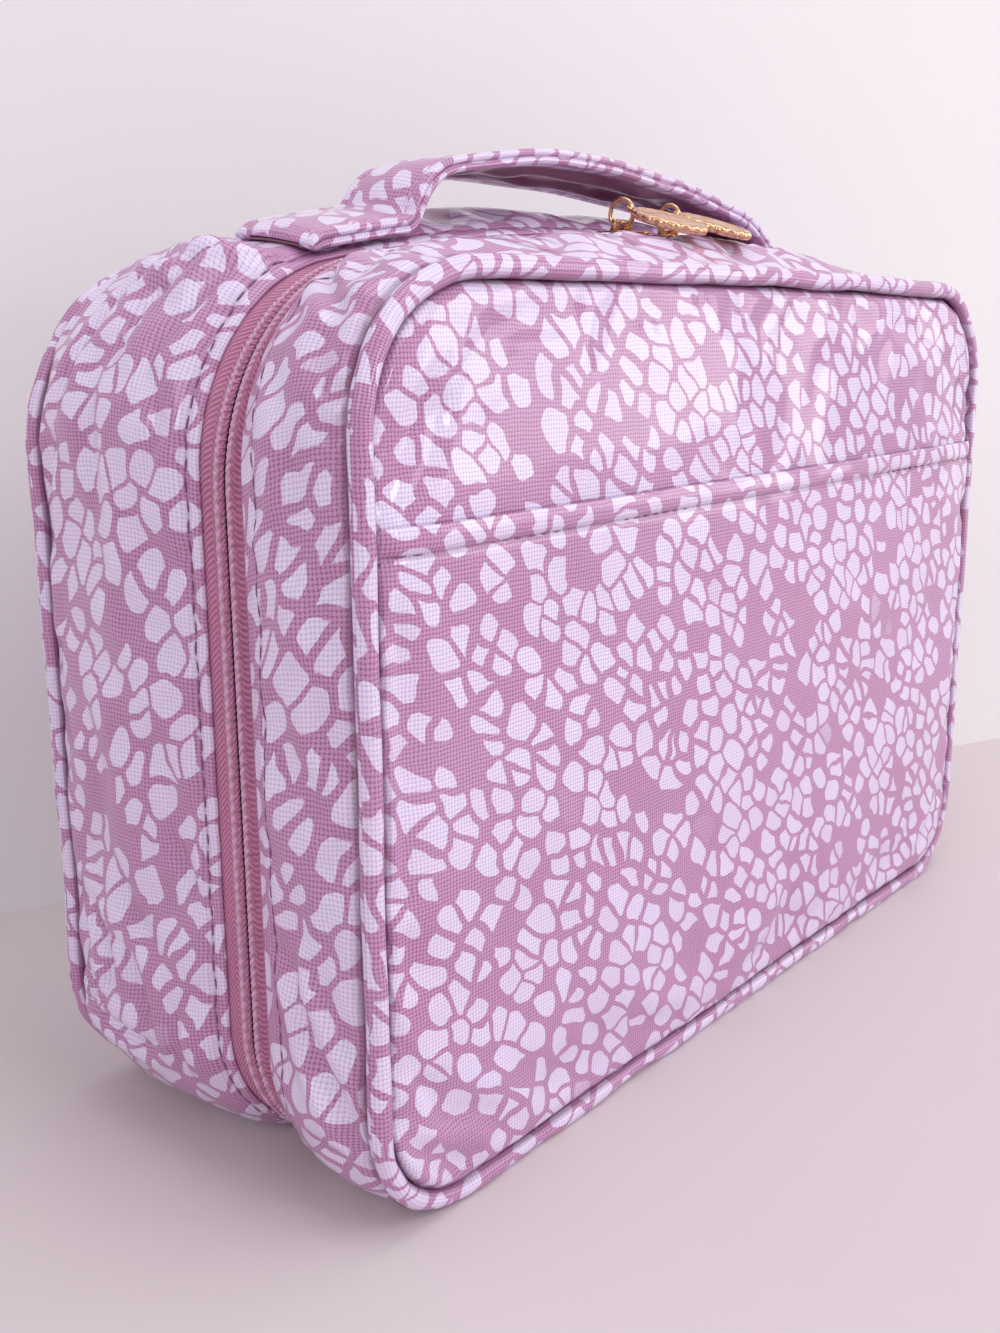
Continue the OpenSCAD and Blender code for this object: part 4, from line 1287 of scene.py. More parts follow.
def make_wall(wall, name, body, *nodes):
    """One padded wall round the case, with its row of topstitching."""
    s = cloth()
    flat = wall.stop_y - wall.side * wall_rows(
        abs(wall.edge_y - wall.stop_y) - s.fold_r, wall.topstitch - s.fold_r)
    under = wall.edge_y + wall.side * s.fold_r - wall.side * np.concatenate(
        [spread(8, 0, np.pi)[1:] * s.fold_r, [np.pi * s.fold_r + 2 * MM]])
    depths = np.concatenate([flat, under])
    obj = make_grid(name, spread(WALL_STEPS + 1), depths, wall.place, closed=True,
                    flip=wall.side > 0)
    thicken(obj, s.canvas / 2)
    dress(obj, body, "canvas", "canvas", *nodes)
    u = spread(1500, -0.93, 0.93)
    y = np.full_like(u, wall.edge_y + wall.side * wall.topstitch)
    points = wall.place(u, y)[0]
    _, normals = rim(u, y)
    stitch_row(name.replace("cloth", "stitches"), body, points, normals)


class CASE_OT_walls(bpy.types.Operator):
    """Makes the padded walls on both sides of the zip"""

    bl_idname = "makeup_case.walls"
    bl_label = "Walls"

    def execute(self, context):
        lid = Wall(-1, LID_FOLDS, 71)
        lid.settle()
        make_wall(lid, "front_gusset_cloth", "lid", "front_gusset", "front_gusset_foam")
        rear = Wall(1, REAR_FOLDS, 23)
        rear.settle()
        make_wall(rear, "rear_gusset_cloth", "case", "rear_gusset", "rear_gusset_foam")
        return {"FINISHED"}


# ---- piping ----


def make_piping(name, body, seam_y, seed, node):
    """A covered cord in a seam, a little lumpy where the case stands on it."""
    s = cloth()
    half_l = outline_shares()[1]

    def place(u, turn):
        run = u * half_l
        low = soft_step(0.45, 0.8, np.abs(u)) * soft_step(1.0, 0.95, np.abs(u))
        radius = s.piping_r * (1 + (0.025 + 0.05 * low) * ripple(run, turn * 2 * MM, 0.017, seed))
        angle = 2 * np.pi * turn
        sway = 0.22 * MM * ripple(run, 0 * turn, 0.045, seed + 1) * soft_step(1, 0.9, np.abs(u))
        points = around(u, seam_y, radius * np.cos(angle) - s.piping_inset + sway,
                        seam_y - radius * np.sin(angle))
        # Painted shade on the cord's inner side and on its side towards the wall, where it meets
        # the seam ditches
        seam = np.clip(0.8 * soft_step(-0.4, -0.9, np.cos(angle))
                       + soft_step(0.72, 0.98, np.sin(angle) * np.sign(seam_y)), 0, 1)
        return points, np.stack([run, turn * 2 * np.pi * s.piping_r + seed], -1), seam

    obj = make_grid(name, spread(521), spread(17, 0, 1), place, closed=True, flip=True)
    dress(obj, body, "piping_canvas", "canvas", node)


class CASE_OT_piping(bpy.types.Operator):
    """Makes the piping in the front and the back seam"""

    bl_idname = "makeup_case.piping"
    bl_label = "Piping"

    def execute(self, context):
        make_piping("front_piping_cord", "lid", FRONT_SEAM_Y, 5, "front_piping")
        make_piping("back_piping_cord", "case", BACK_SEAM_Y, 6, "back_piping")
        return {"FINISHED"}


# ---- zip ----

COIL_MARGIN = 0.15 * MM
COIL_WIRE = 0.36 * MM
CHAIN_R, CHAIN_SLANT = 0.54 * MM, math.radians(26)


def make_tape(name, body, side, node):
    """One woven tape of the zip, ribbed on both sides of a groove."""
    s = zipper()
    end = share_at_base(ZIP_END_X)
    half_l = outline_shares()[1]
    near = ZIP_Y + side * s.coil_split / 2
    far = (LID_EDGE_Y if side < 0 else REAR_EDGE_Y) + side * s.tape_hidden

    def place(u, y):
        from_middle = np.abs(y - ZIP_Y)
        follow = mix(ZIP_Y, y, soft_step(s.slider_w / 2, s.slider_w / 2 + 2 * MM, from_middle))
        over = (from_middle - s.coil_split / 2 - s.coil_w / 2) / (s.coil_w / 2 + COIL_MARGIN)
        ridge = 0.88 * s.coil_h * np.sqrt(np.clip(1 - over ** 2, 0, 1))
        return around(u, follow, ridge - s.tape_depth, y), np.stack([u * half_l, y], -1)

    outer = ZIP_Y + side * (s.coil_split / 2 + s.coil_w + COIL_MARGIN)
    rows = np.concatenate([np.linspace(near, outer, 15)[:-1], np.linspace(outer, far, 10)])
    obj = make_grid(name, spread(1001, -end, end), rows, place, flip=side < 0)
    thicken(obj, s.tape_t)
    dress(obj, body, "tape", "tape", node)


def make_teeth(name, body, side, node):
    """One row of teeth: a flattened coil with its sewing thread on top."""
    s = zipper()
    end = share_at_base(ZIP_END_X)
    half_l = outline_shares()[1]
    centre_y = ZIP_Y + side * (s.coil_split / 2 + s.coil_w / 2)
    turns = 2 * end * half_l / s.coil_pitch
    across, up = s.coil_w / 2 - COIL_WIRE, s.coil_h / 2 - COIL_WIRE

    def place(u, turn):
        angle = side * 2 * np.pi * turns * (u + 1) / 2
        base, normal = rim(u * end, ZIP_Y)
        out = COIL_WIRE * np.cos(2 * np.pi * turn)
        along = COIL_WIRE * np.sin(2 * np.pi * turn)
        height = (up + out) * np.sin(angle) + s.coil_h / 2 - s.tape_depth
        points = base + normal * height[..., None]
        forward = np.stack([normal[..., Z], 0 * u, -normal[..., X]], -1)
        points = points + forward * along[..., None]
        points[..., Y] = centre_y + (across + out) * np.cos(angle)
        return points, np.stack([u, turn], -1)

    steps = int(turns * 9)
    obj = make_grid(name, spread(steps + 1), spread(6, 0, 1), place)
    dress(obj, body, "coil", "coil", node)
    u = spread(1500, -end, end)
    _, normals = rim(u, centre_y)
    base, _ = rim(u, ZIP_Y)
    points = base + normals * (s.coil_h * 0.8 - s.tape_depth)
    points[:, Y] = centre_y
    row = long_balls(name.replace("teeth", "chain"), points, normals, s.coil_pitch,
                     s.coil_pitch * 1.8, CHAIN_R, slant=side * CHAIN_SLANT)
    dress(row, body, "chain", "tape")


class CASE_OT_zip(bpy.types.Operator):
    """Makes the zip's tapes and its two rows of teeth"""

    bl_idname = "makeup_case.zip"
    bl_label = "Zip"

    def execute(self, context):
        for side, part, body in ((-1, "front", "lid"), (1, "rear", "case")):
            make_tape(part + "_tape_cloth", body, side, part + "_zip_tape")
            make_teeth(part + "_zip_teeth", body, side, part + "_zip_coil")
        return {"FINISHED"}


class CASE_OT_hinge(bpy.types.Operator):
    """Makes the strip of canvas that the lid folds on"""

    bl_idname = "makeup_case.hinge"
    bl_label = "Hinge strip"

    def execute(self, context):
        low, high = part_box("bottom_hinge")

        def place(u, v):
            x, y = mix(low.x, high.x, u), mix(low.y, high.y, v)
            z = high.z - 0.2 * MM + 0.15 * MM * ripple(x, y, 0.03, 8)
            return np.stack([x, y, z], -1), np.stack([x, y], -1)

        obj = make_grid("bottom_hinge_cloth", spread(90, 0, 1), spread(13, 0, 1), place)
        thicken(obj, 0.8 * MM)
        solid = obj.modifiers[0].name
        with context.temp_override(object=obj, active_object=obj):
            bpy.ops.object.modifier_apply(modifier=solid)
        obj.data.materials.append(material_of("canvas"))
        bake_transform(obj)
        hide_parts("bottom_hinge")
        return {"FINISHED"}


# ---- sliders and pulls ----


def on_zip(x):
    """The place of a slider at x: +X runs along the zip and +Z points outwards."""
    _, run_r, run_z, _ = (float(v) for v in arcs(ZIP_Y))
    return (Matrix.Translation((0, ZIP_Y, run_z))
            @ Matrix.Rotation(math.asin(x / run_r), 4, "Y") @ Matrix.Translation((0, 0, run_r)))


SLIDER_GAP = 0.3 * MM
PLATE_BEVEL = 0.28 * MM
POST_L, POST_W = 2.4 * MM, 0.5 * MM
EAR_R, EAR_L = 0.62 * MM, 1.0 * MM


def rod(bm, radius, depth, sides, x, z):
    """Adds a round rod along X and gives its points."""
    verts = bmesh.ops.create_cone(bm, cap_ends=True, segments=sides, radius1=radius,
                                  radius2=radius, depth=depth)["verts"]
    rotate(bm, verts, "Y")
    move(bm, verts, x, 0, z)
    return verts


def slider_plate(bm, low):
    """Adds a waisted plate, wide at +X, with rounded edges."""
    s = zipper()
    plate = bmesh.new()
    bmesh.ops.create_grid(plate, x_segments=8, y_segments=1, size=0.5)
    for v in plate.verts:
        share = v.co.x + 0.5
        waist = 1 - 0.26 * math.sin(math.pi * min(1, share * 1.15)) ** 2 - 0.16 * (1 - share)
        v.co = (v.co.x * s.slider_l, v.co.y * s.slider_w * waist, low)
    raised = bmesh.ops.extrude_face_region(plate, geom=plate.faces[:])["geom"]
    move(plate, [g for g in raised if isinstance(g, bmesh.types.BMVert)], 0, 0, s.plate_t)
    bmesh.ops.recalc_face_normals(plate, faces=plate.faces)
    sharp = [e for e in plate.edges if e.calc_face_angle(0) > math.radians(30)]
    bmesh.ops.bevel(plate, geom=sharp, offset=PLATE_BEVEL, offset_type="OFFSET", segments=3,
                    profile=0.5, affect="EDGES", material=-1, clamp_overlap=True)
    join(bm, plate)


def make_slider(name, body, x, direction, node):
    """A slider: two plates, the post between them and the bar for the ring."""
    s = zipper()
    bm = bmesh.new()
    low = -s.tape_depth + s.coil_h + SLIDER_GAP
    high = low + s.plate_t
    floor_low = -s.tape_depth - s.tape_t - SLIDER_GAP - s.plate_t
    slider_plate(bm, low)
    slider_plate(bm, floor_low)
    post = bmesh.ops.create_cube(bm, size=1.0)["verts"]
    bmesh.ops.scale(bm, vec=(POST_L, POST_W, low - floor_low), verts=post)
    move(bm, post, s.slider_l / 2 - 2 * MM, 0, (low + floor_low + s.plate_t) / 2)
    bar_l = s.slider_l * 0.62
    bar_z = high + 2 * SLIDER_GAP + s.wire_d + s.bar_d / 2
    for end in (-1, 1):
        for v in rod(bm, EAR_R, EAR_L, 24, end * (bar_l - EAR_L) / 2, bar_z):
            if v.co.z < bar_z - 0.2 * MM:
                v.co.y *= 1.9
                v.co.z = high - 0.3 * MM
    rod(bm, s.bar_d / 2, bar_l, 20, 0, bar_z)
    if direction < 0:
        rotate(bm, bm.verts, "Z", math.pi)
    bmesh.ops.transform(bm, matrix=on_zip(x), verts=bm.verts)
    dress(from_bmesh(name, bm), body, "gold", "gold", node)


def torus(bm, radius, wire, steps=48, sides=14):
    """A ring of round wire in the XY plane, as a spun circle."""
    section = bmesh.ops.create_circle(bm, cap_ends=False, segments=sides, radius=wire)["verts"]
    rotate(bm, section, "X")
    move(bm, section, radius, 0, 0)
    edges = list({e for v in section for e in v.link_edges})
    bmesh.ops.spin(bm, geom=section + edges, cent=(0, 0, 0), axis=(0, 0, 1),
                   angle=2 * math.pi, steps=steps, use_merge=True)


EYE_ANGLE = math.radians(-15)
CHARM_SLOPE = math.radians(18)
EYE_R, EYE_WIRE_R, EYE_REACH = 1.65 * MM, 0.42 * MM, 1.3 * MM
# Flutes of a charm's rim and petals of its field: where they begin and end, as
# shares of the charm's radius, and how high they are
FLUTE_FROM, FLUTE_DEPTH = 0.8, 0.07
PETAL_FROM, PETAL_TO, PETAL_H = 0.45, 0.82, 0.12 * MM


def pull_places():
    """Height of the ring's middle, the ring's radius and the place of the charm's
    eye, in the frame of a slider."""
    s = zipper()
    high = -s.tape_depth + s.coil_h + SLIDER_GAP + s.plate_t
    ring_z = high + SLIDER_GAP + s.ring_d / 2
    wire_r = (s.ring_d - s.wire_d) / 2
    eye_y = -wire_r * math.cos(EYE_ANGLE) - 0.1 * MM
    eye_z = ring_z - wire_r * math.sin(EYE_ANGLE)
    return ring_z, wire_r, eye_y, eye_z


def charm_profile(radius, half_t):
    """Half section of a charm: a boss, a sunk field and a raised rounded rim."""
    relief, rim_w, boss = 0.35 * MM, 1.5 * MM, 3.7 * MM
    top = [(0, half_t + 0.1 * MM), (boss * 0.6, half_t + 0.06 * MM), (boss * 0.9, half_t),
           (boss + relief, half_t - relief), (radius - rim_w - relief, half_t - relief),
           (radius - rim_w, half_t - 0.05 * MM), (radius - rim_w * 0.5, half_t),
           (radius - 0.35 * MM, half_t - 0.12 * MM), (radius, half_t * 0.4)]
    return top + [(r, -z) for r, z in reversed(top)]


def make_pull(side_name, body, x):
    """A ring and the fluted charm that hangs on it."""
    s = zipper()
    ring_z, wire_r, eye_y, eye_z = pull_places()
    bm = bmesh.new()
    torus(bm, wire_r, s.wire_d / 2)
    rotate(bm, bm.verts, "Y")
    move(bm, bm.verts, 0, 0, ring_z)
    bmesh.ops.transform(bm, matrix=on_zip(x), verts=bm.verts)
    bmesh.ops.recalc_face_normals(bm, faces=bm.faces)
    ring = from_bmesh(side_name + "_ring_metal", bm)
    dress(ring, body, "gold", "gold", side_name + "_ring")

    bm = bmesh.new()
    radius = s.charm_d / 2
    points = [bm.verts.new((r, 0, z)) for r, z in charm_profile(radius, s.charm_t / 2)]
    edges = [bm.edges.new(pair) for pair in zip(points, points[1:])]
    bmesh.ops.spin(bm, geom=points + edges, cent=(0, 0, 0), axis=(0, 0, 1),
                   angle=2 * math.pi, steps=s.flutes * 8, use_merge=True)
    bmesh.ops.remove_doubles(bm, verts=bm.verts, dist=MERGE)
    for v in bm.verts:
        reach = v.co.xy.length / radius
        turn = math.atan2(v.co.y, v.co.x) * s.flutes
        flute = (0.5 + 0.5 * math.cos(turn + math.pi)) ** 2
        near_rim = min(1, max(0, (reach - FLUTE_FROM) / (1 - FLUTE_FROM)))
        v.co.xy *= 1 - FLUTE_DEPTH * flute * near_rim
        if PETAL_FROM < reach < PETAL_TO:
            petal = math.sin(math.pi * (reach - PETAL_FROM) / (PETAL_TO - PETAL_FROM))
            v.co.z += math.copysign(PETAL_H, v.co.z) * petal * math.cos(turn)
    move(bm, bm.verts, 0, -EYE_REACH - radius, 0)
    kept = set(bm.verts)
    torus(bm, EYE_R, EYE_WIRE_R, steps=32, sides=10)
    eye = [v for v in bm.verts if v not in kept]
    bmesh.ops.scale(bm, vec=(1, 1, 1.15), verts=eye)
    bmesh.ops.recalc_face_normals(bm, faces=bm.faces)
    place = (on_zip(x) @ Matrix.Translation((0, eye_y, eye_z))
             @ Matrix.Rotation(CHARM_SLOPE, 4, "X"))
    bmesh.ops.transform(bm, matrix=place, verts=bm.verts)
    charm = from_bmesh(side_name + "_charm_metal", bm)
    dress(charm, body, "gold", "gold", side_name + "_charm")


class CASE_OT_sliders(bpy.types.Operator):
    """Makes the two sliders with their rings and charms"""

    bl_idname = "makeup_case.sliders"
    bl_label = "Sliders and pulls"

    def execute(self, context):
        s = zipper()
        make_slider("left_slider_metal", "left_runner", s.left_x, 1, "left_slider")
        make_slider("right_slider_metal", "right_runner", s.right_x, -1, "right_slider")
        make_pull("left", "left_pull", s.left_x)
        make_pull("right", "right_pull", s.right_x)
        return {"FINISHED"}


# ---- strap ----

TOP_TURN = math.radians(10)
LEFT_FALL = math.radians(58)
RIGHT_FALL = math.radians(36)
STITCH_LINE = 2.6 * MM
END_CAP = 1.1 * MM


def sewn_z(x):
    """Height of the sewn strap's underside."""
    return top_z(x, STRAP_Y) + strap().lift


def slope_at(x):
    """Slope of the case's top under the strap, downwards to the right."""
    step = 0.5 * MM
    return np.arctan2(sewn_z(x - step) - sewn_z(x + step), 2 * step)


def strap_side(reach, drop, radius, fall, end_slope):
    """One side of the free strap from its peak outwards: a long arc, a round
    shoulder, a straight fall and a small arc back onto the case, as
    [distance, height, slope]."""
    heel = strap().heel_r
    sin, cos = math.sin, math.cos
    width = reach - heel * (sin(fall) - sin(end_slope)) - radius * (sin(fall) - sin(TOP_TURN))
    height = drop - heel * (cos(end_slope) - cos(fall)) - radius * (cos(TOP_TURN) - cos(fall))
    det = cos(fall) * (1 - cos(TOP_TURN)) - sin(fall) * sin(TOP_TURN)
    straight = (width * (1 - cos(TOP_TURN)) - height * sin(TOP_TURN)) / det
    top_r = (cos(fall) * height - sin(fall) * width) / det
    x1, z1 = top_r * sin(TOP_TURN), -top_r * (1 - cos(TOP_TURN))
    x2 = x1 + radius * (sin(fall) - sin(TOP_TURN))
    z2 = z1 - radius * (cos(TOP_TURN) - cos(fall))
    x3, z3 = x2 + straight * cos(fall), z2 - straight * sin(fall)
    line = [(top_r * sin(a), -top_r * (1 - cos(a)), a) for a in spread(22, 0, TOP_TURN)[1:]]
    line += [(x1 + radius * (sin(a) - sin(TOP_TURN)), z1 - radius * (cos(TOP_TURN) - cos(a)), a)
             for a in spread(15, TOP_TURN, fall)[1:]]
    line += [(mix(x2, x3, t), mix(z2, z3, t), fall) for t in spread(4, 0, 1)[1:-1]]
    line += [(x3 + heel * (sin(fall) - sin(a)), z3 - heel * (cos(a) - cos(fall)), a)
             for a in spread(9, fall, end_slope)]
    return line


def strap_run():
    """The strap from left to right: x, height of the underside, slope, and how
    closely it follows the swell of the case."""
    s = strap()
    lift_x = s.reach - s.sewn
    peak_z = float(top_z(0, STRAP_Y)) + s.rise
    drop = peak_z - float(sewn_z(lift_x))
    end = float(slope_at(lift_x))
    left = strap_side(lift_x + s.peak_x, drop, s.left_r, LEFT_FALL, end)
    right = strap_side(lift_x - s.peak_x, drop, s.right_r, RIGHT_FALL, end)
    ends = [(x, float(sewn_z(x)), float(slope_at(x)), 1.0)
            for x in spread(15, lift_x, s.reach)[1:]]
    run = [(-x, z, -a, f) for x, z, a, f in reversed(ends)]
    run += [(s.peak_x - d, peak_z + z, -a, k / (len(left) - 1))
            for k, (d, z, a) in reversed(list(enumerate(left)))]
    run += [(s.peak_x, peak_z, 0.0, 0.0)]
    run += [(s.peak_x + d, peak_z + z, a, k / (len(right) - 1))
            for k, (d, z, a) in enumerate(right)]
    return np.array(run + ends)


class StrapShape:
    """Carries points of [share along, distance across, height] along the strap."""

    def __init__(self):
        self.run = strap_run()
        steps = np.hypot(np.diff(self.run[:, 0]), np.diff(self.run[:, 1]))
        self.lengths = np.concatenate([[0], np.cumsum(steps)])
        self.total = self.lengths[-1]

    def from_end(self, share):
        """Distance from the strap's nearer end."""
        return np.minimum(share, 1 - share) * self.total

    def pressed(self, share):
        """Share of its thickness that the strap keeps, less at its sewn ends."""
        return 1 - 0.35 * soft_step(4 * MM, 0, self.from_end(share))

    def place(self, share, across, up):
        """Place of a point, with the strap's own slight twist and sag."""
        at = share * self.total
        x, z, slope, follow = (np.interp(at, self.lengths, self.run[:, k]) for k in range(4))
        swell = follow ** 2 * (top_z(x, STRAP_Y + across) - top_z(x, STRAP_Y))
        free = 1 - follow ** 2
        tilt = -1.6 * MM * np.sin(np.pi * share) ** 2 * (0.4 + across / STRAP_HALF_W)
        lift = free * (tilt + 0.25 * MM * ripple(at, across, 0.045, 31))
        sway = free * 0.5 * MM * ripple(at, 0 * across, 0.11, 33)
        up = up + lift - strap().lift * follow ** 2
        return np.stack([x + up * np.sin(slope), STRAP_Y + across + sway,
                         z + up * np.cos(slope) + swell], -1)


def edge_section():
    """Half section of the strap's cover, from under its edge to the middle of its
    top: [distance across, height]. Two folded layers meet in a groove."""
    t, half = strap().thickness, STRAP_HALF_W
    lobe = t / 4
    under = [(half - strap().fold, 0.12 * MM), (half - 2.4 * MM, 0.02 * MM)]
    lower = [(half - lobe + lobe * math.cos(a), lobe + lobe * math.sin(a))
             for a in spread(7, -math.pi / 2, math.pi / 2)]
    upper = [(half - lobe + lobe * math.cos(a), 3 * lobe + lobe * math.sin(a))
             for a in spread(7, -math.pi / 2, math.pi / 2)[1:]]
    lower[-1] = (half - lobe * 1.15, 2 * lobe)
    top = [(half - d, t) for d in (1.6 * MM, 2.2 * MM, 2.6 * MM, 3.0 * MM, 3.8 * MM, 5.5 * MM,
                                   7.5 * MM, 10 * MM)] + [(0, t)]
    return under + lower + upper + top


def strap_top_height(share, across, total):
    """Relief of the strap's top: two channels of topstitching and soft puckers."""
    from_edge = STRAP_HALF_W - np.abs(across)
    run = share * total
    pucker = ripple(run, across, 0.008, 51) * np.exp(-np.abs(from_edge - STITCH_LINE) / 0.002)
    return (groove(from_edge - STITCH_LINE, 0.35 * MM, 0.5 * MM) + 0.14 * MM * pucker
            + 0.3 * MM * soft_step(3 * MM, 8 * MM, from_edge)
            + 0.2 * MM * ripple(run, across * 2, 0.03, 52) * soft_step(2 * MM, 6 * MM, from_edge))


class CASE_OT_strap(bpy.types.Operator):
    """Makes the folded carrying strap with its backing and stitches"""

    bl_idname = "makeup_case.strap"
    bl_label = "Carrying strap"

    def execute(self, context):
        s, c = strap(), cloth()
        shape = StrapShape()
        half = edge_section()
        section = np.array(half + [(-a, b) for a, b in reversed(half[:-1])])
        steps = np.hypot(*np.diff(section, axis=0).T)
        width = np.concatenate([[0], np.cumsum(steps)])

        def cover(share, k):
            k = np.rint(k).astype(int)
            across, up = section[k, 0], section[k, 1]
            on_top = up > s.thickness * 0.98
            press = shape.pressed(share)
            relief = np.where(on_top, strap_top_height(share, across, shape.total), 0)
            middle_z = s.thickness * press / 2
            closed = np.sqrt(1 - (1 - np.clip(shape.from_end(share) / END_CAP, 0, 1)) ** 2)
            points = shape.place(share, across,
                                 middle_z + ((up + relief) * press - middle_z) * closed)
            return points, np.stack([share * shape.total + 0.31, width[k] + 0.17], -1)

        cap = END_CAP / shape.total
        ends = spread(7, 0, cap)[:-1]
        shares = np.concatenate([ends, spread(210, cap, 1 - cap), 1 - ends[::-1]])
        obj = make_grid("handle_strap_cover", shares, np.arange(len(section)), cover,
                        flip=True)
        thicken(obj, 0.3 * MM)
        dress(obj, "case", "canvas", "canvas", "handle_strap", "handle_core")

        back_w = STRAP_HALF_W - s.fold + 0.8 * MM

        def backing(share, v):
            across = v * back_w
            free = soft_step(0, 0.12, np.minimum(share, 1 - share))
            run = share * shape.total
            pleats = (0.3 * MM * ripple(run * 0.25, across, 0.006, 62) + 0.5 * MM * np.sin(
                across / (1.55 * MM) + 0.8 * ripple(run, 0 * v, 0.06, 61)))
            sink = 0.25 * MM * soft_step(1.0, 0.8, np.abs(v))
            up = 0.55 * MM + (pleats * free * soft_step(1.0, 0.75, np.abs(v))) + sink
            return shape.place(share, across, up), np.stack([run, across], -1)

        back = make_grid("handle_strap_backing", spread(180, 0, 1), spread(41), backing,
                         flip=True)
        thicken(back, -0.5 * MM)
        dress(back, "case", "backing", "backing", "handle_backing")

        for side, word in ((-1, "front"), (1, "rear")):
            share = spread(500, 0.006, 0.994)
            across = np.full_like(share, side * (STRAP_HALF_W - STITCH_LINE))
            up = (s.thickness + strap_top_height(share, across, shape.total)
                  ) * shape.pressed(share)
            points = shape.place(share, across, up + 0.05 * MM)
            raised = shape.place(share, across, up + 1 * MM)
            row = long_balls("handle_%s_stitches" % word, points, raised - points,
                             c.stitch_pitch * 0.8, c.stitch_l * 0.8, c.stitch_r * 0.9)
            dress(row, "case", "chain", "tape")
        return {"FINISHED"}


# ---- inside ----

BINDING_W = 3.5 * MM


def declare_lining(obj, body, node):
    """Finishes a lining's sheet, given as wide and as long as its solid."""
    thicken(obj, cloth().lining * 0.75)
    dress(obj, body, "lining", "lining", node)


def make_wall_lining(name, body, side, node):
    """The lining of one wall, from its inner seam to the zip tape."""
    s, z = cloth(), zipper()
    low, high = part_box(node)
    half_l = outline_shares()[1]
    deep = z.tape_depth + z.tape_t + s.gap
    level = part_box("front_gusset")[1].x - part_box("front_gusset_lining")[1].x
    edge_y = LID_EDGE_Y if side < 0 else REAR_EDGE_Y

    def place(u, y):
        from_edge = np.abs(y - edge_y)
        near = soft_step(z.tape_hidden, 5.5 * MM, from_edge)
        follow = mix(ZIP_Y, y, near)
        run = u * half_l
        sag = 0.35 * MM * near * ripple(run, y, 0.03, 77 + side) * soft_step(1, 0.9, np.abs(u))
        inset = mix(deep, level + 0.15 * MM, near) + np.abs(sag)
        return around(u, follow, -inset, y), np.stack([run, y], -1)

    obj = make_grid(name, spread(301), np.linspace(low.y, high.y, 16), place, closed=True)
    declare_lining(obj, body, node)


def make_panel_lining(name, body, side, node):
    """The lining of the front or the back face."""
    s = cloth()
    low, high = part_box(node)
    seam_y = FRONT_SEAM_Y if side < 0 else BACK_SEAM_Y
    plane = Plane(seam_y, float(outline(seam_y)[0]) - high.x)
    edge_y = high.y if side < 0 else low.y

    def place(c, v):
        x = plane.x_of(c)
        z = mix(*plane.edges(x), v)
        edge = plane.distance(x, z)
        dome = s.dome * soft_step(0, 0.09, edge)
        sag = 0.3 * MM * (1 + ripple(x, z, 0.05, 88)) * soft_step(0, 0.02, edge) / 2
        y = edge_y + side * (s.lining * 0.5 + dome - sag)
        return np.stack([x, y, z], -1), np.stack([x, z], -1)

    obj = make_grid(name, spread(81), spread(57, 0, 1), place, flip=side < 0)
    declare_lining(obj, body, node)


def make_binding(name, body, node):
    """The tape folded over an inner seam."""
    low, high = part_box(node)
    y = (low.y + high.y) / 2
    half_t = (high.y - low.y) / 2
    half_l = outline_shares()[1]
    near = float(outline(y)[0]) - high.x

    def place(u, turn):
        angle = 2 * np.pi * turn
        run = u * half_l
        wave = 0.15 * MM * ripple(run, 0 * u, 0.02, 66) * soft_step(1, 0.9, np.abs(u))
        shape = np.sign(np.cos(angle)) * np.abs(np.cos(angle)) ** 0.6
        inset = near + BINDING_W / 2 * (1 - shape)
        thick = half_t * np.sign(np.sin(angle)) * np.abs(np.sin(angle)) ** 0.7
        return around(u, y, -inset, y - thick + wave), np.stack([run, turn * 2 * BINDING_W], -1)

    obj = make_grid(name, spread(401), spread(17, 0, 1), place, closed=True, flip=True)
    dress(obj, body, "binding", "tape", node)


class CASE_OT_inside(bpy.types.Operator):
    """Makes the linings and the bindings over the inner seams"""

    bl_idname = "makeup_case.inside"
    bl_label = "Linings and bindings"

    def execute(self, context):
        for side, part, body, face in ((-1, "front", "lid", "front"), (1, "rear", "case", "back")):
            make_wall_lining(part + "_gusset_lining_cloth", body, side, part + "_gusset_lining")
            make_panel_lining(face + "_panel_lining_cloth", body, side, face + "_panel_lining")
            make_binding(face + "_binding_tape", body, face + "_binding")
        return {"FINISHED"}


# ---- stage ----

CAMERA_AT = (-0.29111, -0.21010, 0.16720)
CAMERA_AZIMUTH = math.radians(-50.245)
CAMERA_DOWN = math.radians(13.316)
CAMERA_ROLL = math.radians(-0.379)
CAMERA_LENS = 37.47
SENSOR = 36.0
WALL_TURN = math.radians(-24)
WALL_SET = 0.105
STAGE_HALF = 2.0
SKY, SKY_POWER = (0.96, 0.95, 1.0, 1.0), 0.46
# Each lamp's place, the point it faces, its size and its power in watts
LAMPS = {
    "front_lamp": ((0.2, -1.4, 1.3), (0, 0, 0.08), (1.1, 0.9), 9),
    "window_lamp": ((1.2, -1.05, 0.45), (0, 0, 0.08), (0.7, 0.9), 6),
    "top_lamp": ((0.1, -0.12, 1.6), (0, 0, 0.1), (1.0, 1.0), 7),
    "left_lamp": ((-1.5, -0.5, 0.9), (0, 0, 0.1), (0.8, 0.8), 6),
    "glint_lamp": ((0.1, -1.3, 0.42), (0, 0, 0.12), (0.14, 0.24), 1.4),
}


def add_lamp(name, at, target, size, power):
    """A soft lamp that points at a target."""
    data = bpy.data.lights.new(name, "AREA")
    data.shape = "RECTANGLE"
    data.size, data.size_y = size
    data.energy = power
    lamp = add_object(name, data)
    lamp.location = at
    lamp.rotation_euler = (Vector(target) - Vector(at)).to_track_quat("-Z", "Y").to_euler()


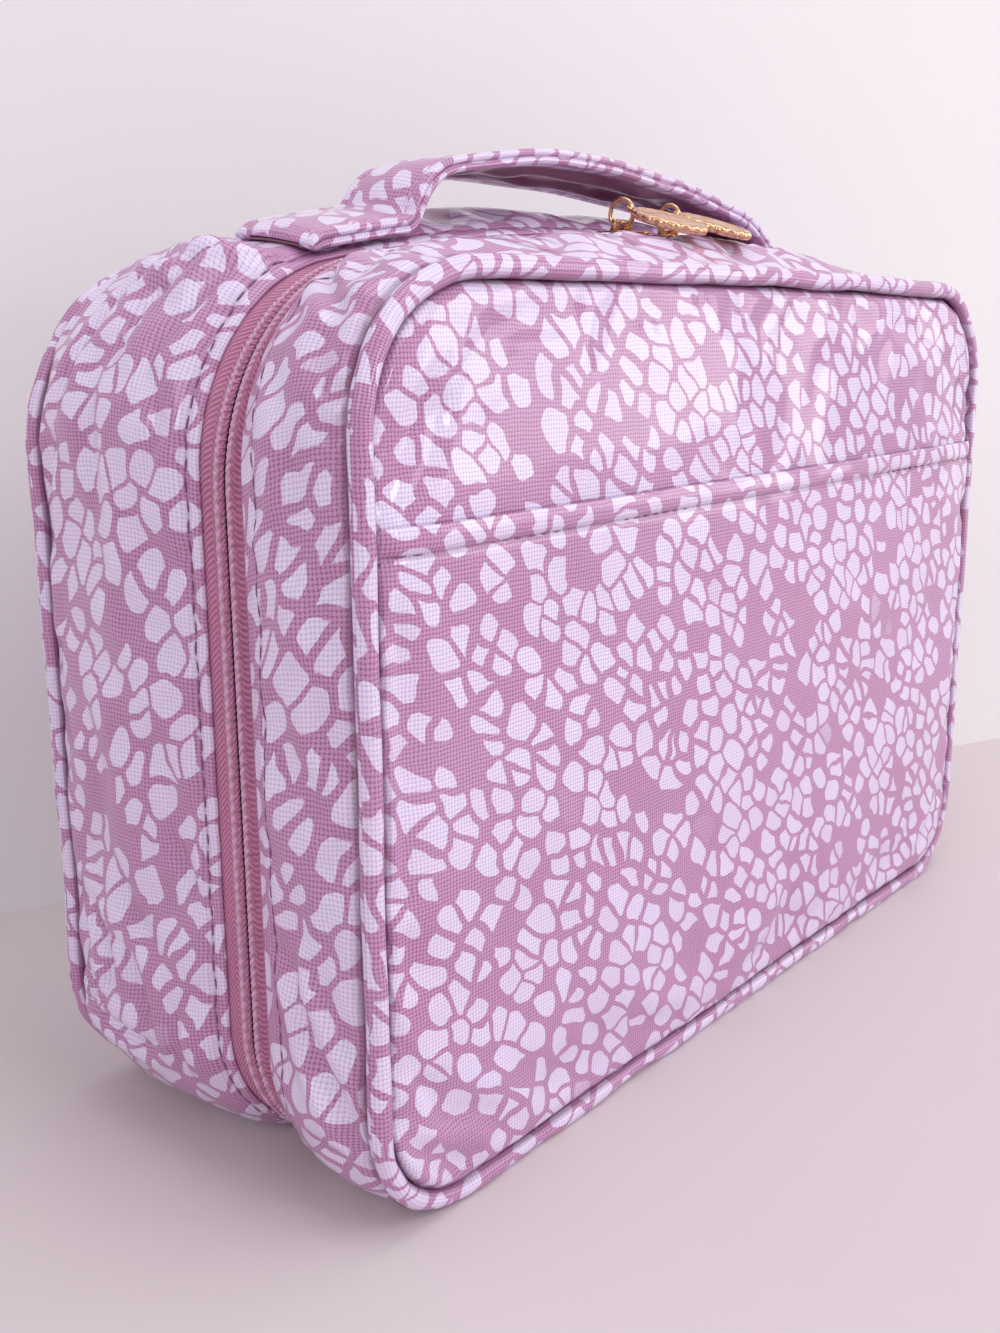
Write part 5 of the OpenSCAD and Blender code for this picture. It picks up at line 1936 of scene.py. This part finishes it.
def camera_matrix():
    """The camera's place and turn."""
    sin, cos = math.sin, math.cos
    ahead = Vector((-sin(CAMERA_AZIMUTH) * cos(CAMERA_DOWN),
                    cos(CAMERA_AZIMUTH) * cos(CAMERA_DOWN), -sin(CAMERA_DOWN)))
    right = Vector((cos(CAMERA_AZIMUTH), sin(CAMERA_AZIMUTH), 0))
    rolled = right * cos(CAMERA_ROLL) + right.cross(ahead) * sin(CAMERA_ROLL)
    turned = Matrix((rolled, rolled.cross(ahead), -ahead)).transposed().to_4x4()
    return Matrix.Translation(CAMERA_AT) @ turned


class CASE_OT_stage(bpy.types.Operator):
    """Makes the floor, the wall, the lamps and the camera"""

    bl_idname = "makeup_case.stage"
    bl_label = "Stage"

    def execute(self, context):
        scene = context.scene
        for name, height in (("floor", 0.0), ("wall", 1.2)):
            bm = bmesh.new()
            bmesh.ops.create_grid(bm, x_segments=1, y_segments=1, size=STAGE_HALF)
            if height:
                rotate(bm, bm.verts, "X")
                move(bm, bm.verts, 0, WALL_SET, height)
                bmesh.ops.bisect_plane(bm, geom=bm.verts[:] + bm.edges[:] + bm.faces[:],
                                       plane_co=(0, 0, -0.001), plane_no=(0, 0, -1),
                                       clear_outer=True)
                rotate(bm, bm.verts, "Z", WALL_TURN)
            obj = from_bmesh(name, bm, smooth=False)
            obj.data.materials.append(material_of(name))

        world = bpy.data.worlds.new("Studio")
        scene.world = world
        world.use_nodes = True
        sky = world.node_tree.nodes["Background"].inputs
        sky["Color"].default_value, sky["Strength"].default_value = SKY, SKY_POWER
        for name, lamp in LAMPS.items():
            add_lamp(name, *lamp)

        data = bpy.data.cameras.new("camera")
        data.sensor_fit, data.sensor_width, data.lens = "AUTO", SENSOR, CAMERA_LENS
        data.clip_start = 0.01
        camera = add_object("camera", data)
        camera.matrix_world = camera_matrix()
        scene.camera = camera
        scene.view_settings.view_transform = "Standard"
        return {"FINISHED"}


# ---- add-on ----

STEPS = (CASE_OT_stage, CASE_OT_faces, CASE_OT_walls, CASE_OT_piping, CASE_OT_zip,
         CASE_OT_hinge, CASE_OT_sliders, CASE_OT_strap, CASE_OT_inside)


class CASE_PT_panel(bpy.types.Panel):
    """Lists the case's pieces and their sizes and colours"""

    bl_label = "Makeup case"
    bl_idname = "CASE_PT_panel"
    bl_space_type = "VIEW_3D"
    bl_region_type = "UI"
    bl_category = "Makeup case"

    def draw(self, context):
        for step in STEPS:
            self.layout.operator(step.bl_idname)
        for group in SETTINGS:
            box = self.layout.box()
            for name in getattr(context.scene, group).__annotations__:
                box.prop(getattr(context.scene, group), name)


SETTINGS = {"case_sizes": CaseSizes, "cloth_sizes": ClothSizes, "zip_sizes": ZipSizes,
            "strap_sizes": StrapSizes, "case_colours": CaseColours}
CLASSES = (*SETTINGS.values(), *STEPS, CASE_PT_panel)


def register():
    """Adds the settings, the operators and the panel."""
    for item in CLASSES:
        bpy.utils.register_class(item)
    for name, group in SETTINGS.items():
        setattr(bpy.types.Scene, name, PointerProperty(type=group))


def unregister():
    """Takes them away again."""
    for name in SETTINGS:
        delattr(bpy.types.Scene, name)
    for item in reversed(CLASSES):
        bpy.utils.unregister_class(item)


def main():
    """Makes every piece in order."""
    register()
    for step in STEPS:
        group, name = step.bl_idname.split(".")
        getattr(getattr(bpy.ops, group), name)()


if __name__ == "__main__":
    main()
